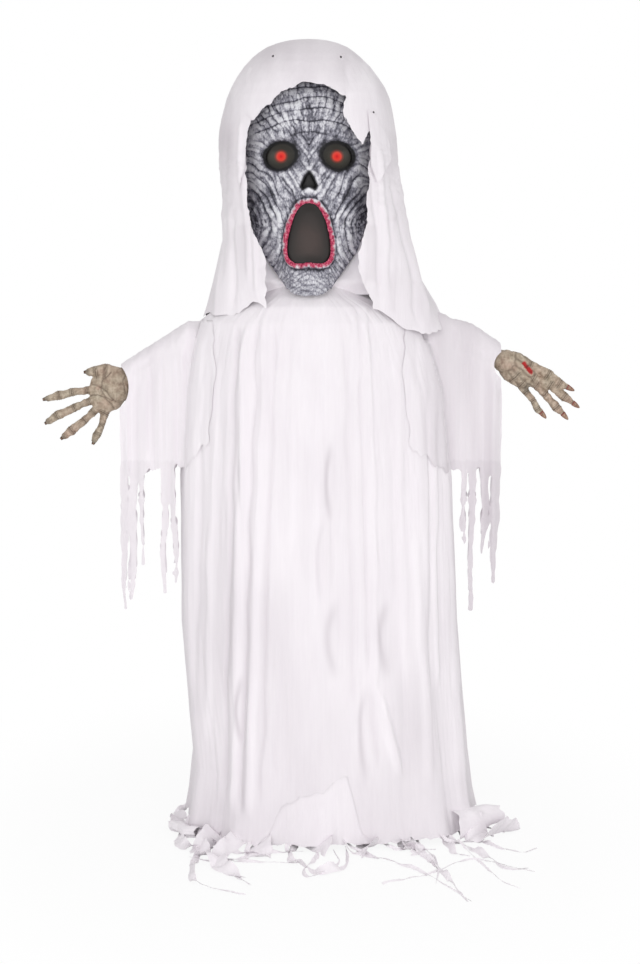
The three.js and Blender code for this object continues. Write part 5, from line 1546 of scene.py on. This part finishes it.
# Finishes of the hard pieces, by the record's material slot
FINISHES = {
    slot: moulded(name, rgb(*colour), rgb(*worn), roughness, **more)
    for slot, name, colour, worn, roughness, more in [
        ("black_steel", "black_steel", (40, 41, 45), (58, 59, 63), 0.45, {"metal": 0.7}),
        ("zinc_steel", "zinc_steel", (168, 172, 178), (196, 199, 203), 0.35, {"metal": 0.9}),
        ("black_plastic", "black_plastic", (30, 30, 33), (46, 46, 49), 0.5, {}),
        ("foam_grey", "foam_grey", (112, 113, 118), (128, 129, 133), 0.95, {"grain": 700}),
        ("white_plastic", "white_plastic", (216, 214, 208), (226, 224, 219), 0.5, {}),
        ("cell_label", "cell_label", (46, 76, 58), (60, 92, 72), 0.4, {}),
        ("lead_red", "lead_red", (140, 28, 28), (160, 44, 40), 0.55, {}),
        ("red_light", "red_light", (200, 30, 28), (214, 52, 44), 0.25, {}),
        ("mask_grey", "mask_grey_inside", (150, 150, 158), (170, 170, 176), 0.7, {}),
        ("dark_mesh", "dark_mesh_plain", (52, 48, 46), (66, 61, 57), 0.75, {"grain": 900}),
        ("hand_skin", "hand_skin_plain", (165, 150, 130), (150, 132, 112), 0.65, {}),
    ]
}
for subpart in frame["record"]["subparts"]:
    finish = FINISHES.get(subpart["material_slot"])
    shown = frame["nodes"][subpart["node"]]
    if finish is not None:
        for place in shown.material_slots:
            place.material = finish


# Stage: a pale floor, soft lamps and the photograph's camera
def stage_floor():
    """A wide floor that fades to pure white away from the figure where the camera sees it."""
    made = Surface("stage_white", Roughness=1.0, Base_Color=(0.9, 0.9, 0.9, 1), Specular_IOR_Level=0)
    glow = made.node("ShaderNodeEmission", Strength=1.0, Color=(1, 1, 1, 1))
    away = made.node("ShaderNodeVectorMath", operation="LENGTH")
    made.link(made.place, away.inputs[0])
    limits = {"From_Min": 0.25, "From_Max": 1.1, "interpolation_type": "SMOOTHSTEP"}
    far = made.ranged(away.outputs["Value"], 0.9, 1.0, **limits)
    both = made.node("ShaderNodeMixShader")
    made.link(made.math("MULTIPLY", made.seen(), far), both.inputs[0])
    made.link(made.shader.outputs[0], both.inputs[1])
    made.link(glow.outputs[0], both.inputs[2])
    made.link(both.outputs[0], made.tree.nodes["Material Output"].inputs["Surface"])
    size, z = 40000, -0.6
    corners = [(-size, -size, z), (size, -size, z), (size, size, z), (-size, size, z)]
    add_mesh("stage_floor", corners, [[0, 1, 2, 3]], made.material)


def world_light():
    """White all round: full where the camera sees it, softer where it only lights the figure."""
    world = bpy.data.worlds.new("studio")
    world.use_nodes = True
    bpy.context.scene.world = world
    made = Nodes(world.node_tree)
    background = made.tree.nodes["Background"]
    background.inputs["Color"].default_value = (1, 1, 1, 1)
    made.link(made.ranged(made.seen(), 0.6, 1.0), background.inputs["Strength"])


# Place and target, size in metres and power in watts
LAMPS = {
    "key": ((-1.6, -3.9, 1.9), (0, 0, 1.0), 2.8, 38),
    "low": ((0.4, -3.6, 0.45), (0, 0, 1.15), 2.2, 19),
    "fill": ((2.6, -3.0, 1.6), (0, 0, 0.9), 2.6, 22),
    "top": ((0.2, 1.2, 3.6), (0, 0, 0.9), 2.4, 8),
}


def soft_lamp(name, place, target, size, watts):
    data = bpy.data.lights.new(name, "AREA")
    data.shape, data.size, data.energy = "DISK", size, watts
    lamp = linked(name, data)
    lamp.location = place
    x, y, z = np.array(target, float) - np.array(place, float)
    lamp.rotation_euler = (math.atan2(math.hypot(x, y), -z), 0, math.atan2(x, -y) + math.pi)


def hem_lamp():
    """A soft spot from above that lights the torn ends on the floor."""
    data = bpy.data.lights.new("hem_lamp", "SPOT")
    data.energy, data.shadow_soft_size = 26, 0.4
    data.spot_size, data.spot_blend = math.radians(30), 1.0
    lamp = linked("hem_lamp", data)
    lamp.location = (0, -2.2, 2.6)
    lamp.rotation_euler = (math.atan2(1.85, 2.6), 0, 0)


# The photograph's camera: lens and sensor width in millimetres, place in metres and downward tilt
LENS = 57.3
SENSOR_WIDTH = 36
CAMERA_PLACE = (0, -3.5, 1.35)
CAMERA_TILT = math.radians(3.5)


def camera():
    data = bpy.data.cameras.new("camera")
    data.lens = LENS
    data.shift_x = 0.0114
    data.shift_y = -0.2551 + math.tan(CAMERA_TILT) * data.lens / SENSOR_WIDTH
    made = linked("camera", data)
    made.location = CAMERA_PLACE
    made.rotation_euler = (math.pi / 2 - CAMERA_TILT, 0, 0)
    bpy.context.scene.camera = made


stage_floor()
world_light()
for name, lamp in LAMPS.items():
    soft_lamp(name, *lamp)
hem_lamp()
camera()
bpy.context.scene.view_settings.view_transform = "Standard"
